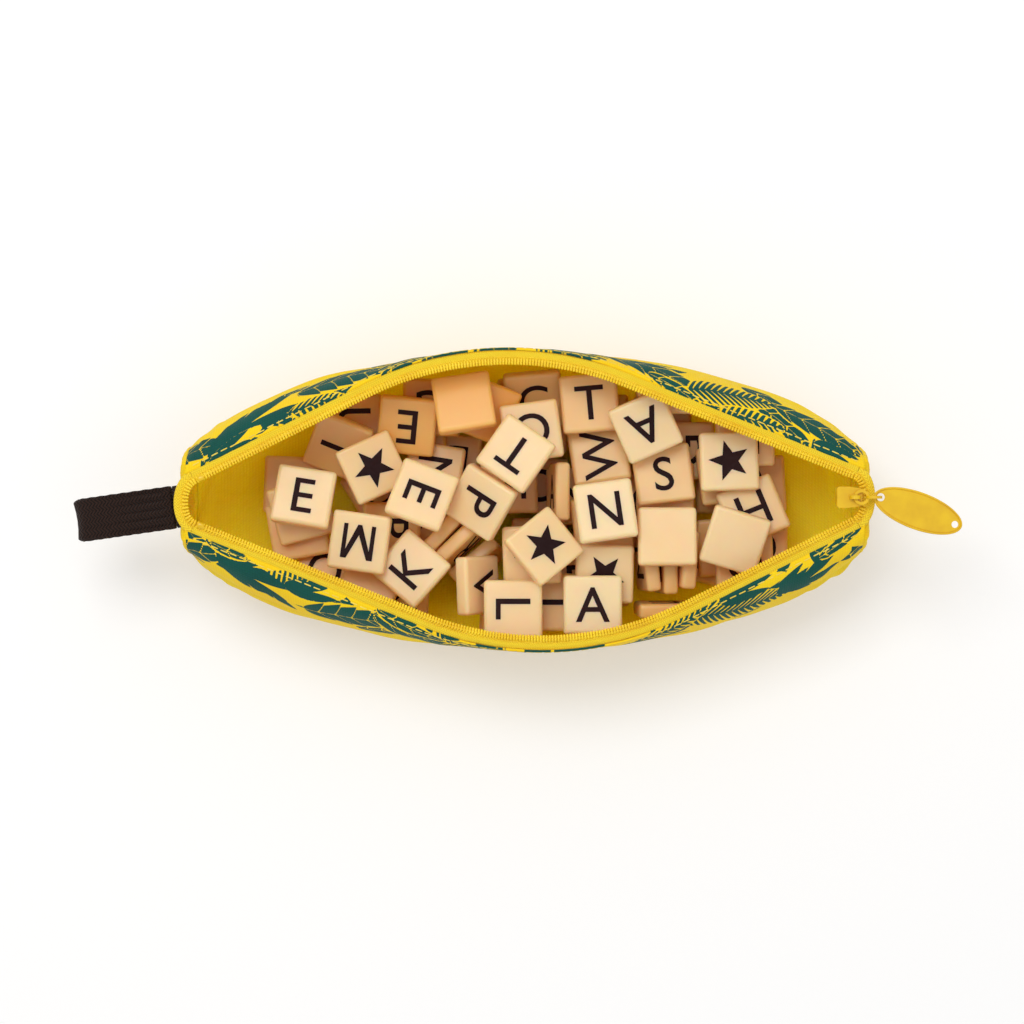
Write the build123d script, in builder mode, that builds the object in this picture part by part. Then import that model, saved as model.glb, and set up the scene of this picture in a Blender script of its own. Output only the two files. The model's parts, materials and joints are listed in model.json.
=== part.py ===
"""Travel word tile game case: a soft zip pouch lying on its belly, mouth open, full of letter tiles.

Millimetres. The origin is the middle of the flat rest on the belly, +Z is up, +X runs along the
pouch towards the zip pull, and the back of the pouch is at +Y. The front side is the back side
turned half a turn about Z.
"""

import math
import os

from build123d import *

# ---- Driving dimensions ----------------------------------------------------------------------

# Pouch
half_length = 111.0  # middle of the pouch to each blunt end
girth_half_width = 48.5  # widest half width, at mid length
girth_half_length = 116.0  # half axis of the plan ellipse that the blunt ends cut off
girth_share = 0.42  # height of the widest line, as a share of the section's height
belly_rise = 24.0  # how far the belly climbs from the middle to each end
belly_curve = 2.6  # power of that climb
belly_roundness = 2.5  # power of the section below the widest line
rest_depth = 0.6  # the belly is flattened by this much where it lies on the table
cloth = 1.2  # thickness of the sewn cloth wall
seam_angle = 65.0  # where the printed band ends, on the quarter turn from rim to widest line
lower_seam_angle = 54.0  # where the lower panel ends, on the quarter turn below the widest line
side_steps = 5  # facets of the printed band
lower_step = 9.0  # degrees for each facet below the widest line
floor_angles = (63, 70, 76, 82, 87)  # corners of the belly's panel, on the same quarter turn
station_shares = (0.11, 0.22, 0.33, 0.42, 0.5, 0.59, 0.69, 0.79, 0.9, 1)  # sections, of the half length
seam_gap = 0.3  # between two panels that are sewn edge to edge
end_piece = 3.0  # thickness of the gathered cloth at each blunt end
end_drop = 0.3  # its top edge lies this far below the tape
# Depth of each section of the end piece, and its share of the full outline
end_rings = ((seam_gap, 0.97), (0.6 * end_piece, 0.93), (end_piece, 0.78))

# Mouth, along the inner edge of the back tape
mouth_height = 50.0  # top of the tape at mid length
mouth_tilt = 5.7  # the tapes slope down and outwards, degrees
mouth_half_length = 108.0
mouth_apex_x = -10.0  # where the two straight flanks would meet
mouth_apex_y = 54.0
mouth_strap_half_gap = 4.2  # back tape to centre line at the strap end
mouth_pull_half_gap = 5.9  # back tape to centre line at the pull end
mouth_bow_radius = 100.0  # the curve that joins the flanks

# Zip
tape_width = 3.4
tape_thickness = 0.8
tape_clearance = 0.4  # tape to the turned-in edge of the side panel
tooth_pitch = 2.4
tooth_reach = 1.0  # how far a tooth stands past the edge of its tape
tooth_root = 1.5  # how much of it lies on the tape
tooth_waist = 0.9
tooth_head = 1.3
tooth_height = 1.2
teeth_end = 12.0  # the teeth end this far from the pull end, under the slider
teeth_start = 1.5  # from the top stop to the first tooth
stop_length = 3.0
stop_height = 1.6
stop_set_back = 0.4  # from the mouth's corner to the stop
stop_chamfer = 0.4
tab_length = 3.0  # tape folded over each blunt end
tab_overhang = 3.2  # how far that fold is wider than the mouth corner on each side
tab_corner = 0.9
closed_chain_length = 4.4  # joined chain inside the slider when the mouth is open
closed_chain_width = 3.4
closed_chain_margin = 0.6  # from its leading end to its first tooth
closed_chain_mesh = 0.3  # how far its teeth reach past its middle

# Slider, pull link and tag
slider_length = 8.0
slider_front_width = 6.8
slider_rear_width = 5.6
slider_plate = 1.0
slider_channel = 2.6
slider_flange = 0.6
slider_slot = 1.2
slider_post = 2.2  # length of the divider post between the two plates
slider_post_width = 1.6
slider_post_set_back = 0.5  # from the slider's leading end
slider_shoulder = 0.55  # the slider narrows over this share of its length
slider_gap = 0.8  # slider to the fold of tape behind it
slider_corner = 0.8
slider_lane = 2.4  # depth of the two tape lanes at its front
bridge_rise = 1.05  # middle of the bridge's eye above the slider's top
bridge_inner = 1.05
bridge_outer = 1.75
bridge_width = 1.2
bridge_set_back = 2.4  # middle of the bridge to the rear edge of the slider
link_wire = 0.45  # half thickness of both rings
link_near_ring = 2.0  # radius of the ring that goes through the bridge
link_far_ring = 2.1  # radius of the ring that goes through the tag
link_overlap = 0.1  # how far the two rings run into each other
tag_length = 30.0
tag_width = 12.0
tag_thickness = 1.0
tag_rim = 0.8
tag_rim_height = 0.3
tag_hole = 1.3  # radius of the hole for the link
tag_hole_margin = 1.0
tag_free_hole = 1.1  # radius of the free hole at the other tip
tag_free_hole_margin = 1.3
tag_pitch = 3.0  # the tag hangs down by this angle from level
tag_yaw = 20.0  # and lies turned towards the front by this angle

# Strap
strap_length = 34.0
strap_width = 13.8
strap_webbing = 1.3  # thickness of the webbing
strap_loop = 6.0  # clear height inside the looped end
strap_pitch = 10.0
strap_yaw = 8.0
strap_root_height = 47.0
strap_root_y = -2.4
strap_clearance = 0.3
strap_seam = 4.0  # the two ends lie flat together over this length
strap_mouth = 7.0  # the loop opens from here
strap_shoulder = 18.0  # each layer bends here from its slope to the loop's full height
strap_droop = 0.6  # it still has this much to rise from there

# Tiles
tile_side = 19.0
tile_thickness = 4.8
tile_chamfer = 0.5
tile_gap = 0.3  # between any two tiles
wall_gap = 0.5  # between a tile and the cloth
hidden_passes = 8
hidden_turn = 4  # the hidden tiles are turned up to this many degrees either way
edge_lean = 88
layer_top = 40.0  # hidden tiles lie below this height
hidden_half_length = 86.0  # the hidden tiles lie within this of the middle
column_pitch = 20.6
row_pitch = 20.6
shift_step = 1.5  # a tile that shows may move sideways by one or two of these
shift_cost = 1.5  # height that a millimetre of such a shift has to win

os.makedirs("parts", exist_ok=True)


# ---- Shape of the pouch ----------------------------------------------------------------------

tilt = math.radians(mouth_tilt)
strap_slope = (mouth_apex_y - mouth_strap_half_gap) / (mouth_half_length + mouth_apex_x)
pull_slope = (mouth_apex_y - mouth_pull_half_gap) / (mouth_half_length - mouth_apex_x)
strap_stretch = math.hypot(1, strap_slope)
pull_stretch = math.hypot(1, pull_slope)
bow_shift = mouth_bow_radius * (strap_stretch - pull_stretch) / (strap_slope + pull_slope)
bow_x = mouth_apex_x + bow_shift
bow_y = mouth_apex_y + strap_slope * bow_shift - mouth_bow_radius * strap_stretch
mouth_top_y = bow_y + mouth_bow_radius
tape_plane_height = mouth_height + mouth_top_y * math.sin(tilt)
corner_height = tape_plane_height - mouth_pull_half_gap * math.sin(tilt)


def mouth_edge(x, out=0.0):
    """Edge of the back tape moved out from the mouth, measured in the tape's own sloping plane."""
    radius = mouth_bow_radius + out
    if x < bow_x - radius * strap_slope / strap_stretch:
        return mouth_apex_y + strap_slope * (x - mouth_apex_x) + out * strap_stretch
    if x > bow_x + radius * pull_slope / pull_stretch:
        return mouth_apex_y - pull_slope * (x - mouth_apex_x) + out * pull_stretch
    return bow_y + math.sqrt(radius**2 - (x - bow_x) ** 2)


def tape_edge(x, side, out):
    """Plan distance and height of the tape's top face, out from its inner edge."""
    across = mouth_edge(x * side, out)
    return across * math.cos(tilt), tape_plane_height - across * math.sin(tilt)


def section_sizes(x, side):
    """Rim, widest line and belly of the outer section at x, on the back (1) or front (-1) side."""
    rim_y, rim_z = tape_edge(x, side, tape_width + tape_clearance)
    width = girth_half_width * math.sqrt(1 - (x / girth_half_length) ** 2)
    belly_z = belly_rise * (abs(x) / half_length) ** belly_curve - rest_depth
    girth_z = belly_z + girth_share * (rim_z - belly_z)
    width = max(width, rim_y + cloth)
    turn = math.radians(seam_angle / side_steps)
    over = (width - rim_y) * math.sin(turn)
    down = (rim_z - girth_z) * (1 - math.cos(turn))
    rim_y += cloth * down / math.hypot(over, down)
    return rim_y, rim_z, width, girth_z, belly_z


def upper_wall(x, side, angle):
    """Point of the outer wall, angle degrees from the rim (0) to the widest line (90)."""
    rim_y, rim_z, width, girth_z, _ = section_sizes(x, side)
    turn = math.radians(angle)
    return rim_y + (width - rim_y) * math.sin(turn), girth_z + (rim_z - girth_z) * math.cos(turn)


def lower_wall(x, side, angle):
    """Point of the outer wall, angle degrees from the widest line (0) to the belly (90)."""
    _, _, width, girth_z, belly_z = section_sizes(x, side)
    turn = math.radians(angle)
    power = 2 / belly_roundness
    across = width * max(math.cos(turn), 0.0) ** power
    return across, girth_z - (girth_z - belly_z) * math.sin(turn) ** power


def inward(points, amount, side_on):
    """The same run of points, moved inwards by amount, square to the run."""
    moved = []
    last = len(points) - 1
    for index, (y, z) in enumerate(points):
        y0, z0 = points[max(index - 1, 0)]
        y1, z1 = points[min(index + 1, last)]
        length = math.hypot(y1 - y0, z1 - z0)
        moved.append((y + side_on * amount * (z1 - z0) / length, z - side_on * amount * (y1 - y0) / length))
    return moved


stations = [-share * mouth_half_length for share in station_shares[::-1]] + [0]
stations += [share * mouth_half_length for share in station_shares]


def beyond(start, towards, distance):
    """The point that far along the way from start towards another point."""
    length = math.dist(start, towards)
    return tuple(a + (b - a) * distance / length for a, b in zip(start, towards))


def half_section(x, side):
    """Outer points from the rim down to the belly, each panel ending where the next one starts."""
    band = [upper_wall(x, side, seam_angle * step / side_steps) for step in range(side_steps + 1)]
    lower = [upper_wall(x, side, (seam_angle + 90) / 2)]
    lower_steps = int(lower_seam_angle / lower_step)
    lower += [lower_wall(x, side, lower_step * step) for step in range(lower_steps + 1)]
    floor = [lower_wall(x, side, angle) for angle in floor_angles]
    lower.insert(0, beyond(band[-1], lower[0], seam_gap))
    floor.insert(0, beyond(lower[-1], floor[0], seam_gap))
    return band, lower, floor


def whole_section(x):
    """Outer and inner points of the section at x, and where each of its panels starts and ends."""
    back, front = half_section(x, 1), half_section(x, -1)
    panels = [*back, *[part[::-1] for part in front[::-1]]]
    panels = [[(side * y, z) for y, z in part] for side, part in zip((1, 1, 1, -1, -1, -1), panels)]
    middle = [(0, section_sizes(x, 1)[4])]
    panels = [panels[0], panels[1], panels[2] + middle + panels[3], panels[4], panels[5]]
    outer = [point for part in panels for point in part]
    inner = inward(outer, cloth, 1)
    ends = [0]
    for part in panels:
        ends.append(ends[-1] + len(part))
    return outer, inner, ends


def keep(shape, name):
    """Label a finished piece and write it to its own file."""
    shape.label = name
    export_step(shape, f"parts/{name}.step")


# ---- Pouch shell -----------------------------------------------------------------------------


def make_panel(index, name):
    """One sewn panel of cloth: the index-th of the section, from the back rim round to the front."""
    with BuildPart() as panel:
        for x in stations:
            outer, inner, ends = whole_section(x)
            run = slice(ends[index], ends[index + 1])
            with BuildSketch(Plane.YZ.offset(x)):
                with BuildLine():
                    Polyline(*outer[run], *inner[run][::-1], close=True)
                make_face()
        loft(ruled=True)
        split(bisect_by=Plane.XY, keep=Keep.TOP)
    keep(panel.part, name)


def end_outline(x, share, top):
    """Outer section at the end at x up to the given top, drawn in towards the middle of that top."""
    outer = whole_section(x)[0]
    below = [point for point in outer if point[1] < top]
    first = outer.index(below[0])
    last = outer.index(below[-1])
    run = []
    for high, low in ((outer[first - 1], outer[first]), (outer[last + 1], outer[last])):
        down = (high[1] - top) / (high[1] - low[1])
        run.append((high[0] + down * (low[0] - high[0]), top))
    run = [run[0], *below[::2], run[1]]
    return [(y * share, top - (top - z) * share) for y, z in run]


def make_end_piece(end, name):
    """Gathered cloth that closes one blunt end, slightly domed."""
    top = corner_height - tape_thickness - end_drop
    with BuildPart() as piece:
        for out, share in end_rings:
            run = end_outline(end * mouth_half_length, share, top)
            with BuildSketch(Plane.YZ.offset(end * (mouth_half_length + out))):
                with BuildLine():
                    Polyline(*run, close=True)
                make_face()
        loft(ruled=True)
    keep(piece.part, name)


for index, name in enumerate(
    ("back_side_panel", "back_lower_panel", "belly_panel", "front_lower_panel", "front_side_panel")
):
    make_panel(index, name)
make_end_piece(-1, "strap_end_piece")
make_end_piece(1, "pull_end_piece")


# ---- Zip -------------------------------------------------------------------------------------


def tape_plane(side):
    """The sloping plane of one tape's top face, with its x axis along the mouth."""
    return Plane(
        origin=(0, 0, tape_plane_height),
        x_dir=(side, 0, 0),
        z_dir=(0, side * math.sin(tilt), math.cos(tilt)),
    )


def mouth_line(out):
    """The mouth's edge, moved out from the mouth, as corner points and bow radius."""
    strap_up = out * strap_stretch
    pull_up = out * pull_stretch
    shift = (pull_up - strap_up) / (strap_slope + pull_slope)
    apex = (mouth_apex_x + shift, mouth_apex_y + strap_up + strap_slope * shift)
    start = (-mouth_half_length, mouth_strap_half_gap + strap_up)
    end = (mouth_half_length, mouth_pull_half_gap + pull_up)
    return (start, apex, end), mouth_bow_radius + out


def make_tape(side, name):
    """One tape: a flat band that follows the mouth's edge."""
    inner, inner_radius = mouth_line(0)
    outer, outer_radius = mouth_line(tape_width)
    with BuildPart() as tape:
        with BuildSketch(tape_plane(side)):
            with BuildLine():
                FilletPolyline(*inner, radius=inner_radius)
                Line(inner[2], outer[2])
                FilletPolyline(*outer[::-1], radius=outer_radius)
                Line(outer[0], inner[0])
            make_face()
        extrude(amount=-tape_thickness)
    keep(tape.part, name)


def tooth_places(skip_start, skip_end):
    """Where teeth sit along the mouth's edge: x along the edge, y into the tape."""
    points, radius = mouth_line(0)
    with BuildLine(mode=Mode.PRIVATE) as path:
        FilletPolyline(*points, radius=radius)
    wire = path.wire()
    count = int((wire.length - skip_start - skip_end) / tooth_pitch)
    places = []
    for index in range(count + 1):
        share = (skip_start + index * tooth_pitch) / wire.length
        point = wire @ share
        along = wire % share
        places.append(Location((point.X, point.Y, 0), math.degrees(math.atan2(along.Y, along.X))))
    return places


def tooth_outline():
    """Plan of one tooth: a slim root on the tape that widens to a head past its edge."""
    root = tooth_waist / 2
    head = tooth_head / 2
    return [(-root, tooth_root), (-head, -tooth_reach), (head, -tooth_reach), (root, tooth_root)]


def make_coil(side, name):
    """Row of teeth on one tape, one for each turn of the coil."""
    with BuildPart() as coil:
        with BuildSketch(tape_plane(side)):
            with Locations(*tooth_places(stop_length + teeth_start, teeth_end)):
                Polygon(*tooth_outline(), align=None)
        extrude(amount=tooth_height)
    keep(coil.part, name)


def make_top_stop(side, name):
    """Crimped block that ends one row of teeth at the strap end."""
    with BuildPart() as stop:
        points, radius = mouth_line(0)
        start = points[0] if side == 1 else points[2]
        slope = strap_slope if side == 1 else -pull_slope
        turn = math.degrees(math.atan(slope))
        shift = stop_length / 2 + stop_set_back
        middle = (start[0] + side * shift, start[1] + abs(slope) * shift)
        with BuildSketch(tape_plane(side)):
            with Locations(Location((middle[0], middle[1], 0), turn)):
                Rectangle(stop_length, tooth_reach + tooth_root, align=(Align.CENTER, Align.CENTER))
        extrude(amount=stop_height)
        top = stop.faces().sort_by(Axis.Z)[-1]
        chamfer(top.edges(), stop_chamfer)
    keep(stop.part, name)


slider_rear_x = mouth_half_length - slider_gap
slider_middle_x = slider_rear_x - slider_length / 2
slider_middle_y = (mouth_pull_half_gap - mouth_strap_half_gap) / 2
tab_top = corner_height
slider_floor = tab_top - tape_thickness - (slider_channel - tape_thickness - tooth_height) / 2
slider_bottom = slider_floor - slider_plate
slider_ceiling = slider_floor + slider_channel
slider_top = slider_ceiling + slider_plate


def make_tab(end, name):
    """Tape folded over one blunt end, joining the two tapes."""
    back_gap = mouth_strap_half_gap if end < 0 else mouth_pull_half_gap
    front_gap = mouth_pull_half_gap if end < 0 else mouth_strap_half_gap
    middle = end * (mouth_half_length + seam_gap + tab_length / 2)
    back = back_gap + tab_overhang
    front = front_gap + tab_overhang
    with BuildPart() as tab:
        with BuildSketch(Plane.XY.offset(tab_top)):
            with Locations((middle, (back - front) / 2)):
                RectangleRounded(tab_length, back + front, tab_corner)
        extrude(amount=-tape_thickness)
    keep(tab.part, name)


def make_closed_chain():
    """Short joined chain behind the open mouth: a tongue of tape with interleaved teeth."""
    rear = mouth_half_length + seam_gap
    front = rear - closed_chain_length
    with BuildPart() as chain:
        with BuildSketch(Plane.XY.offset(tab_top)):
            with Locations(((front + rear) / 2, slider_middle_y)):
                Rectangle(closed_chain_length, closed_chain_width)
        extrude(amount=-tape_thickness)
        with BuildSketch(Plane.XY.offset(tab_top)):
            half = closed_chain_width / 2
            for index in range(int(closed_chain_length / tooth_pitch)):
                start = front + closed_chain_margin + index * tooth_pitch
                with Locations((start, slider_middle_y + half / 2 - closed_chain_mesh)):
                    Rectangle(tooth_waist, half)
                with Locations((start + tooth_pitch / 2, slider_middle_y - half / 2 + closed_chain_mesh)):
                    Rectangle(tooth_waist, half)
        extrude(amount=tooth_height)
    keep(chain.part, "closed_chain")


for side, word in ((1, "back"), (-1, "front")):
    make_tape(side, f"{word}_zip_tape")
    make_coil(side, f"{word}_zip_coil")
make_top_stop(1, "back_top_stop")
make_top_stop(-1, "front_top_stop")
make_tab(-1, "strap_end_tape_fold")
make_tab(1, "pull_end_tape_fold")
make_closed_chain()


# ---- Slider, pull link and tag ---------------------------------------------------------------

bridge_x = slider_rear_x - bridge_set_back
bridge_z = slider_top + bridge_rise


def slider_outline():
    """Plan of the slider: broad at the leading end, narrower at the rear."""
    front = slider_rear_x - slider_length
    wide = slider_front_width / 2
    slim = slider_rear_width / 2
    shoulder = slider_rear_x - slider_shoulder * slider_length
    return [(front, slider_middle_y - wide), (shoulder, slider_middle_y - wide),
            (slider_rear_x, slider_middle_y - slim), (slider_rear_x, slider_middle_y + slim),
            (shoulder, slider_middle_y + wide), (front, slider_middle_y + wide)]


def make_slider():
    """Slider: two plates held apart by the divider post, with flanges that leave tape slots."""
    with BuildPart() as slider:
        with BuildSketch(Plane.XY.offset(slider_bottom)) as plan:
            Polygon(*slider_outline(), align=None)
            fillet(plan.vertices(), slider_corner)
        extrude(amount=2 * slider_plate + slider_channel)
        with BuildSketch(Plane.XY.offset(slider_floor)) as hollow:
            Polygon(*slider_outline(), align=None)
            offset(amount=-slider_flange)
            with Locations((slider_rear_x, slider_middle_y)):
                Rectangle(slider_length, slider_rear_width - 2 * slider_flange)
            lane_y = slider_front_width / 4
            for lane in (-1, 1):
                with Locations((slider_rear_x - slider_length, slider_middle_y + lane * lane_y)):
                    Rectangle(slider_lane, slider_front_width / 2 - 2 * slider_flange)
        extrude(amount=slider_channel, mode=Mode.SUBTRACT)
        slot_middle = (slider_floor + slider_ceiling - tooth_height) / 2
        with Locations((slider_middle_x, slider_middle_y, slot_middle)):
            Box(slider_length + 1, slider_front_width + 1, slider_slot, mode=Mode.SUBTRACT)
        post_x = slider_rear_x - slider_length + slider_post_set_back + slider_post / 2
        with BuildSketch(Plane.XY.offset(slider_floor - slider_plate / 2)):
            with Locations((post_x, slider_middle_y)):
                Ellipse(slider_post / 2, slider_post_width / 2)
        extrude(amount=slider_channel + slider_plate)
        with BuildSketch(Plane.XZ.offset(-slider_middle_y)) as bridge:
            with Locations((bridge_x, bridge_z)):
                Circle(bridge_outer)
            with Locations((bridge_x, (bridge_z + slider_top) / 2)):
                Rectangle(2 * bridge_outer, bridge_z - slider_top)
            with Locations((bridge_x, bridge_z)):
                Circle(bridge_inner, mode=Mode.SUBTRACT)
            with Locations((bridge_x, (bridge_z + slider_top) / 2)):
                Rectangle(2 * bridge_inner, bridge_z - slider_top, mode=Mode.SUBTRACT)
            with Locations((bridge_x, slider_top - bridge_outer)):
                Rectangle(4 * bridge_outer, 2 * bridge_outer - slider_plate / 2, mode=Mode.SUBTRACT)
        extrude(amount=bridge_width / 2, both=True)
    keep(slider.part, "zip_slider")


def make_link():
    """Pull link: a level ring through the bridge and an upright ring through the tag."""
    near_x = bridge_x + link_near_ring
    far_x = near_x + link_near_ring + link_far_ring - link_overlap
    level = Plane.XY.offset(bridge_z)
    upright = Plane.XZ.offset(-slider_middle_y)
    with BuildPart() as link:
        for plane, middle, ring in (
            (level, (near_x, slider_middle_y), link_near_ring),
            (upright, (far_x, bridge_z), link_far_ring),
        ):
            with BuildSketch(plane):
                with Locations(middle):
                    Circle(ring + link_wire)
                    Circle(ring - link_wire, mode=Mode.SUBTRACT)
            extrude(amount=link_wire, both=True)
    keep(link.part, "pull_link")


tag_pivot_x = bridge_x + 2 * link_near_ring + 2 * link_far_ring - link_overlap
tag_direction = Vector(
    math.cos(math.radians(tag_pitch)) * math.cos(math.radians(tag_yaw)),
    -math.cos(math.radians(tag_pitch)) * math.sin(math.radians(tag_yaw)),
    -math.sin(math.radians(tag_pitch)),
)
tag_side = Vector(math.sin(math.radians(tag_yaw)), math.cos(math.radians(tag_yaw)), 0)
tag_normal = tag_direction.cross(tag_side)
tag_plane = Plane(
    origin=Vector(tag_pivot_x, slider_middle_y, bridge_z) - tag_normal * (tag_thickness / 2),
    x_dir=tag_direction,
    z_dir=tag_normal,
)


def make_tag():
    """Oval pull tag with a raised rim, a hole for the link and a free hole at the other tip."""
    middle = tag_length / 2 - tag_hole - tag_hole_margin
    free = tag_length - tag_hole - tag_hole_margin - tag_free_hole - tag_free_hole_margin
    with BuildPart() as tag:
        with BuildSketch(tag_plane):
            with Locations((middle, 0)):
                Ellipse(tag_length / 2, tag_width / 2)
        extrude(amount=tag_thickness - tag_rim_height)
        with BuildSketch(tag_plane.offset(tag_thickness - tag_rim_height)):
            with Locations((middle, 0)):
                Ellipse(tag_length / 2, tag_width / 2)
                Ellipse(tag_length / 2 - tag_rim, tag_width / 2 - tag_rim, mode=Mode.SUBTRACT)
        extrude(amount=tag_rim_height)
        with BuildSketch(tag_plane):
            Circle(tag_hole)
            with Locations((free, 0)):
                Circle(tag_free_hole)
        extrude(amount=tag_thickness, mode=Mode.SUBTRACT)
    keep(tag.part, "pull_tag")


make_slider()
make_link()
make_tag()


# ---- Strap -----------------------------------------------------------------------------------

strap_swing = strap_width / 2 * math.sin(math.radians(strap_yaw))
strap_root_x = -(mouth_half_length + end_piece + strap_clearance + strap_webbing + strap_swing)
strap_direction = Vector(
    -math.cos(math.radians(strap_pitch)) * math.cos(math.radians(strap_yaw)),
    -math.cos(math.radians(strap_pitch)) * math.sin(math.radians(strap_yaw)),
    -math.sin(math.radians(strap_pitch)),
)
strap_across = Vector(math.sin(math.radians(strap_yaw)), -math.cos(math.radians(strap_yaw)), 0)
strap_plane = Plane(
    origin=(strap_root_x, strap_root_y, strap_root_height),
    x_dir=strap_direction,
    z_dir=strap_across,
)


def make_strap():
    """Folded webbing: the two ends lie together at the seam and open into a loop."""
    outer = strap_loop / 2 + strap_webbing
    bend_x = strap_length - outer - strap_webbing
    with BuildPart() as strap:
        with BuildSketch(strap_plane):
            with BuildLine():
                outer_leg = [(0, strap_webbing), (strap_seam, strap_webbing)]
                outer_leg += [(strap_shoulder, outer - strap_droop), (bend_x, outer)]
                Polyline(*outer_leg)
                ThreePointArc((bend_x, outer), (bend_x + outer, 0), (bend_x, -outer))
                Polyline(*[(x, -y) for x, y in outer_leg[::-1]])
                ThreePointArc((0, -strap_webbing), (-strap_webbing, 0), (0, strap_webbing))
            make_face()
            with BuildLine():
                inner = strap_loop / 2
                inner_leg = [(strap_mouth, 0), (strap_shoulder, inner - strap_droop), (bend_x, inner)]
                Polyline(*inner_leg)
                ThreePointArc((bend_x, inner), (bend_x + inner, 0), (bend_x, -inner))
                Polyline(*[(x, -y) for x, y in inner_leg[::-1]])
            make_face(mode=Mode.SUBTRACT)
        extrude(amount=strap_width / 2, both=True)
    keep(strap.part, "carrying_strap")


make_strap()


# ---- Tiles -----------------------------------------------------------------------------------


class Tile:
    """One tile's place: its middle, its three directions and its half sizes."""

    half = (tile_side / 2, tile_side / 2, tile_thickness / 2)

    def __init__(self, x, y, yaw, lean=0, towards=0):
        flat = Plane(origin=(0, 0, 0), x_dir=Vector(1, 0, 0).rotate(Axis.Z, yaw), z_dir=(0, 0, 1))
        tip = Axis((0, 0, 0), Vector(1, 0, 0).rotate(Axis.Z, towards + 90))
        x_dir = flat.x_dir.rotate(tip, lean)
        z_dir = flat.z_dir.rotate(tip, lean)
        self.axes = [tuple(x_dir), tuple(z_dir.cross(x_dir)), tuple(z_dir)]
        self.middle = (x, y, 0)

    def at(self, z):
        """Move the tile's middle to height z."""
        self.middle = (self.middle[0], self.middle[1], z)

    def corners(self):
        """Corners and mid edges of the tile."""
        for i in (-1, 0, 1):
            for j in (-1, 0, 1):
                for k in (-1, 1):
                    yield tuple(
                        self.middle[n]
                        + i * self.half[0] * self.axes[0][n]
                        + j * self.half[1] * self.axes[1][n]
                        + k * self.half[2] * self.axes[2][n]
                        for n in range(3)
                    )

    def location(self):
        """The tile's place for a finished solid."""
        return Location(Plane(origin=self.middle, x_dir=self.axes[0], z_dir=self.axes[2]))


def dot(a, b):
    return a[0] * b[0] + a[1] * b[1] + a[2] * b[2]


def cross(a, b):
    return (a[1] * b[2] - a[2] * b[1], a[2] * b[0] - a[0] * b[2], a[0] * b[1] - a[1] * b[0])


def apart(one, two):
    """True where some direction separates two tiles by tile_gap or more."""
    between = tuple(two.middle[n] - one.middle[n] for n in range(3))
    if dot(between, between) > 4 * (2 * (tile_side / 2) ** 2 + (tile_thickness / 2) ** 2 + 1):
        return True
    directions = one.axes + two.axes
    directions = directions + [cross(a, b) for a in one.axes for b in two.axes]
    for direction in directions:
        length = math.sqrt(dot(direction, direction))
        if length < 1e-6:
            continue
        reach = sum(one.half[n] * abs(dot(direction, one.axes[n])) for n in range(3))
        reach += sum(two.half[n] * abs(dot(direction, two.axes[n])) for n in range(3))
        if abs(dot(between, direction)) - reach > tile_gap * length:
            return True
    return False


def inside_cloth(tile):
    """True where the whole tile lies inside the pouch's cloth."""
    for x, y, z in tile.corners():
        if abs(x) > mouth_half_length - 4:
            return False
        side = 1 if y > 0 else -1
        rim_y, rim_z, width, girth_z, belly_z = section_sizes(x, side)
        room = cloth + wall_gap
        if z < belly_z + rest_depth + room:
            return False
        if z < girth_z:
            depth = (girth_z - z) / (girth_z - belly_z - room)
            limit = (width - room) * max(1 - depth**belly_roundness, 0) ** (1 / belly_roundness)
        elif z < rim_z - room:
            rise = (z - girth_z) / (rim_z - girth_z)
            limit = rim_y - room + (width - rim_y) * math.sqrt(1 - rise**2)
        else:
            limit = tape_edge(x, side, 0)[0] - tooth_reach - wall_gap
        if abs(y) > limit:
            return False
    return True


placed = []
step = 0.5
bisections = 4


def neighbours(tile):
    """Placed tiles that could touch this one at some height."""
    reach = math.sqrt(2 * tile_side**2 + tile_thickness**2) + tile_gap
    return [other for other in placed if math.dist(other.middle[:2], tile.middle[:2]) < reach]


def free(tile, z, near):
    """True where the tile, with its middle at z, is clear of the cloth and of the tiles near it."""
    tile.at(z)
    return inside_cloth(tile) and all(apart(tile, other) for other in near)


def highest_place(tile, crown):
    """Highest free height with no corner above crown, or None."""
    near = neighbours(tile)
    top = crown - max(corner[2] for corner in tile.corners()) + tile.middle[2]
    z = top
    while z > 0 and not free(tile, z, near):
        z -= step
    if z <= 0:
        return None
    high = min(z + step, top)
    for _ in range(bisections):
        middle = (z + high) / 2
        if free(tile, middle, near):
            z = middle
        else:
            high = middle
    return z


def place_showing(x, y, yaw, lean, towards, crown):
    """Place a tile that shows: near x, y, shifted a little where that keeps it higher in the pile."""
    best = None
    shifts = [(0, 0)]
    for ring in (1, 2):
        count = 6 * ring
        shifts += [(ring, 360 * index / count) for index in range(count)]
    for distance, bearing in shifts:
        turn = math.radians(bearing)
        away = distance * shift_step
        tile = Tile(x + away * math.cos(turn), y + away * math.sin(turn), yaw, lean, towards)
        z = highest_place(tile, crown)
        if z is not None and (best is None or z - shift_cost * away > best[0]):
            best = (z - shift_cost * away, z, tile)
    if best is None:
        return None
    best[2].at(best[1])
    placed.append(best[2])
    return best[2]


def place_hidden(tile, top):
    """Place a tile as low as it goes, with its middle below top. False where it has no room."""
    near = neighbours(tile)
    z = 0.0
    while z < top and not free(tile, z, near):
        z += step
    if z >= top:
        return False
    low = z - step
    for _ in range(bisections):
        middle = (z + low) / 2
        if free(tile, middle, near):
            z = middle
        else:
            low = middle
    tile.at(z)
    placed.append(tile)
    return True


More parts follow.
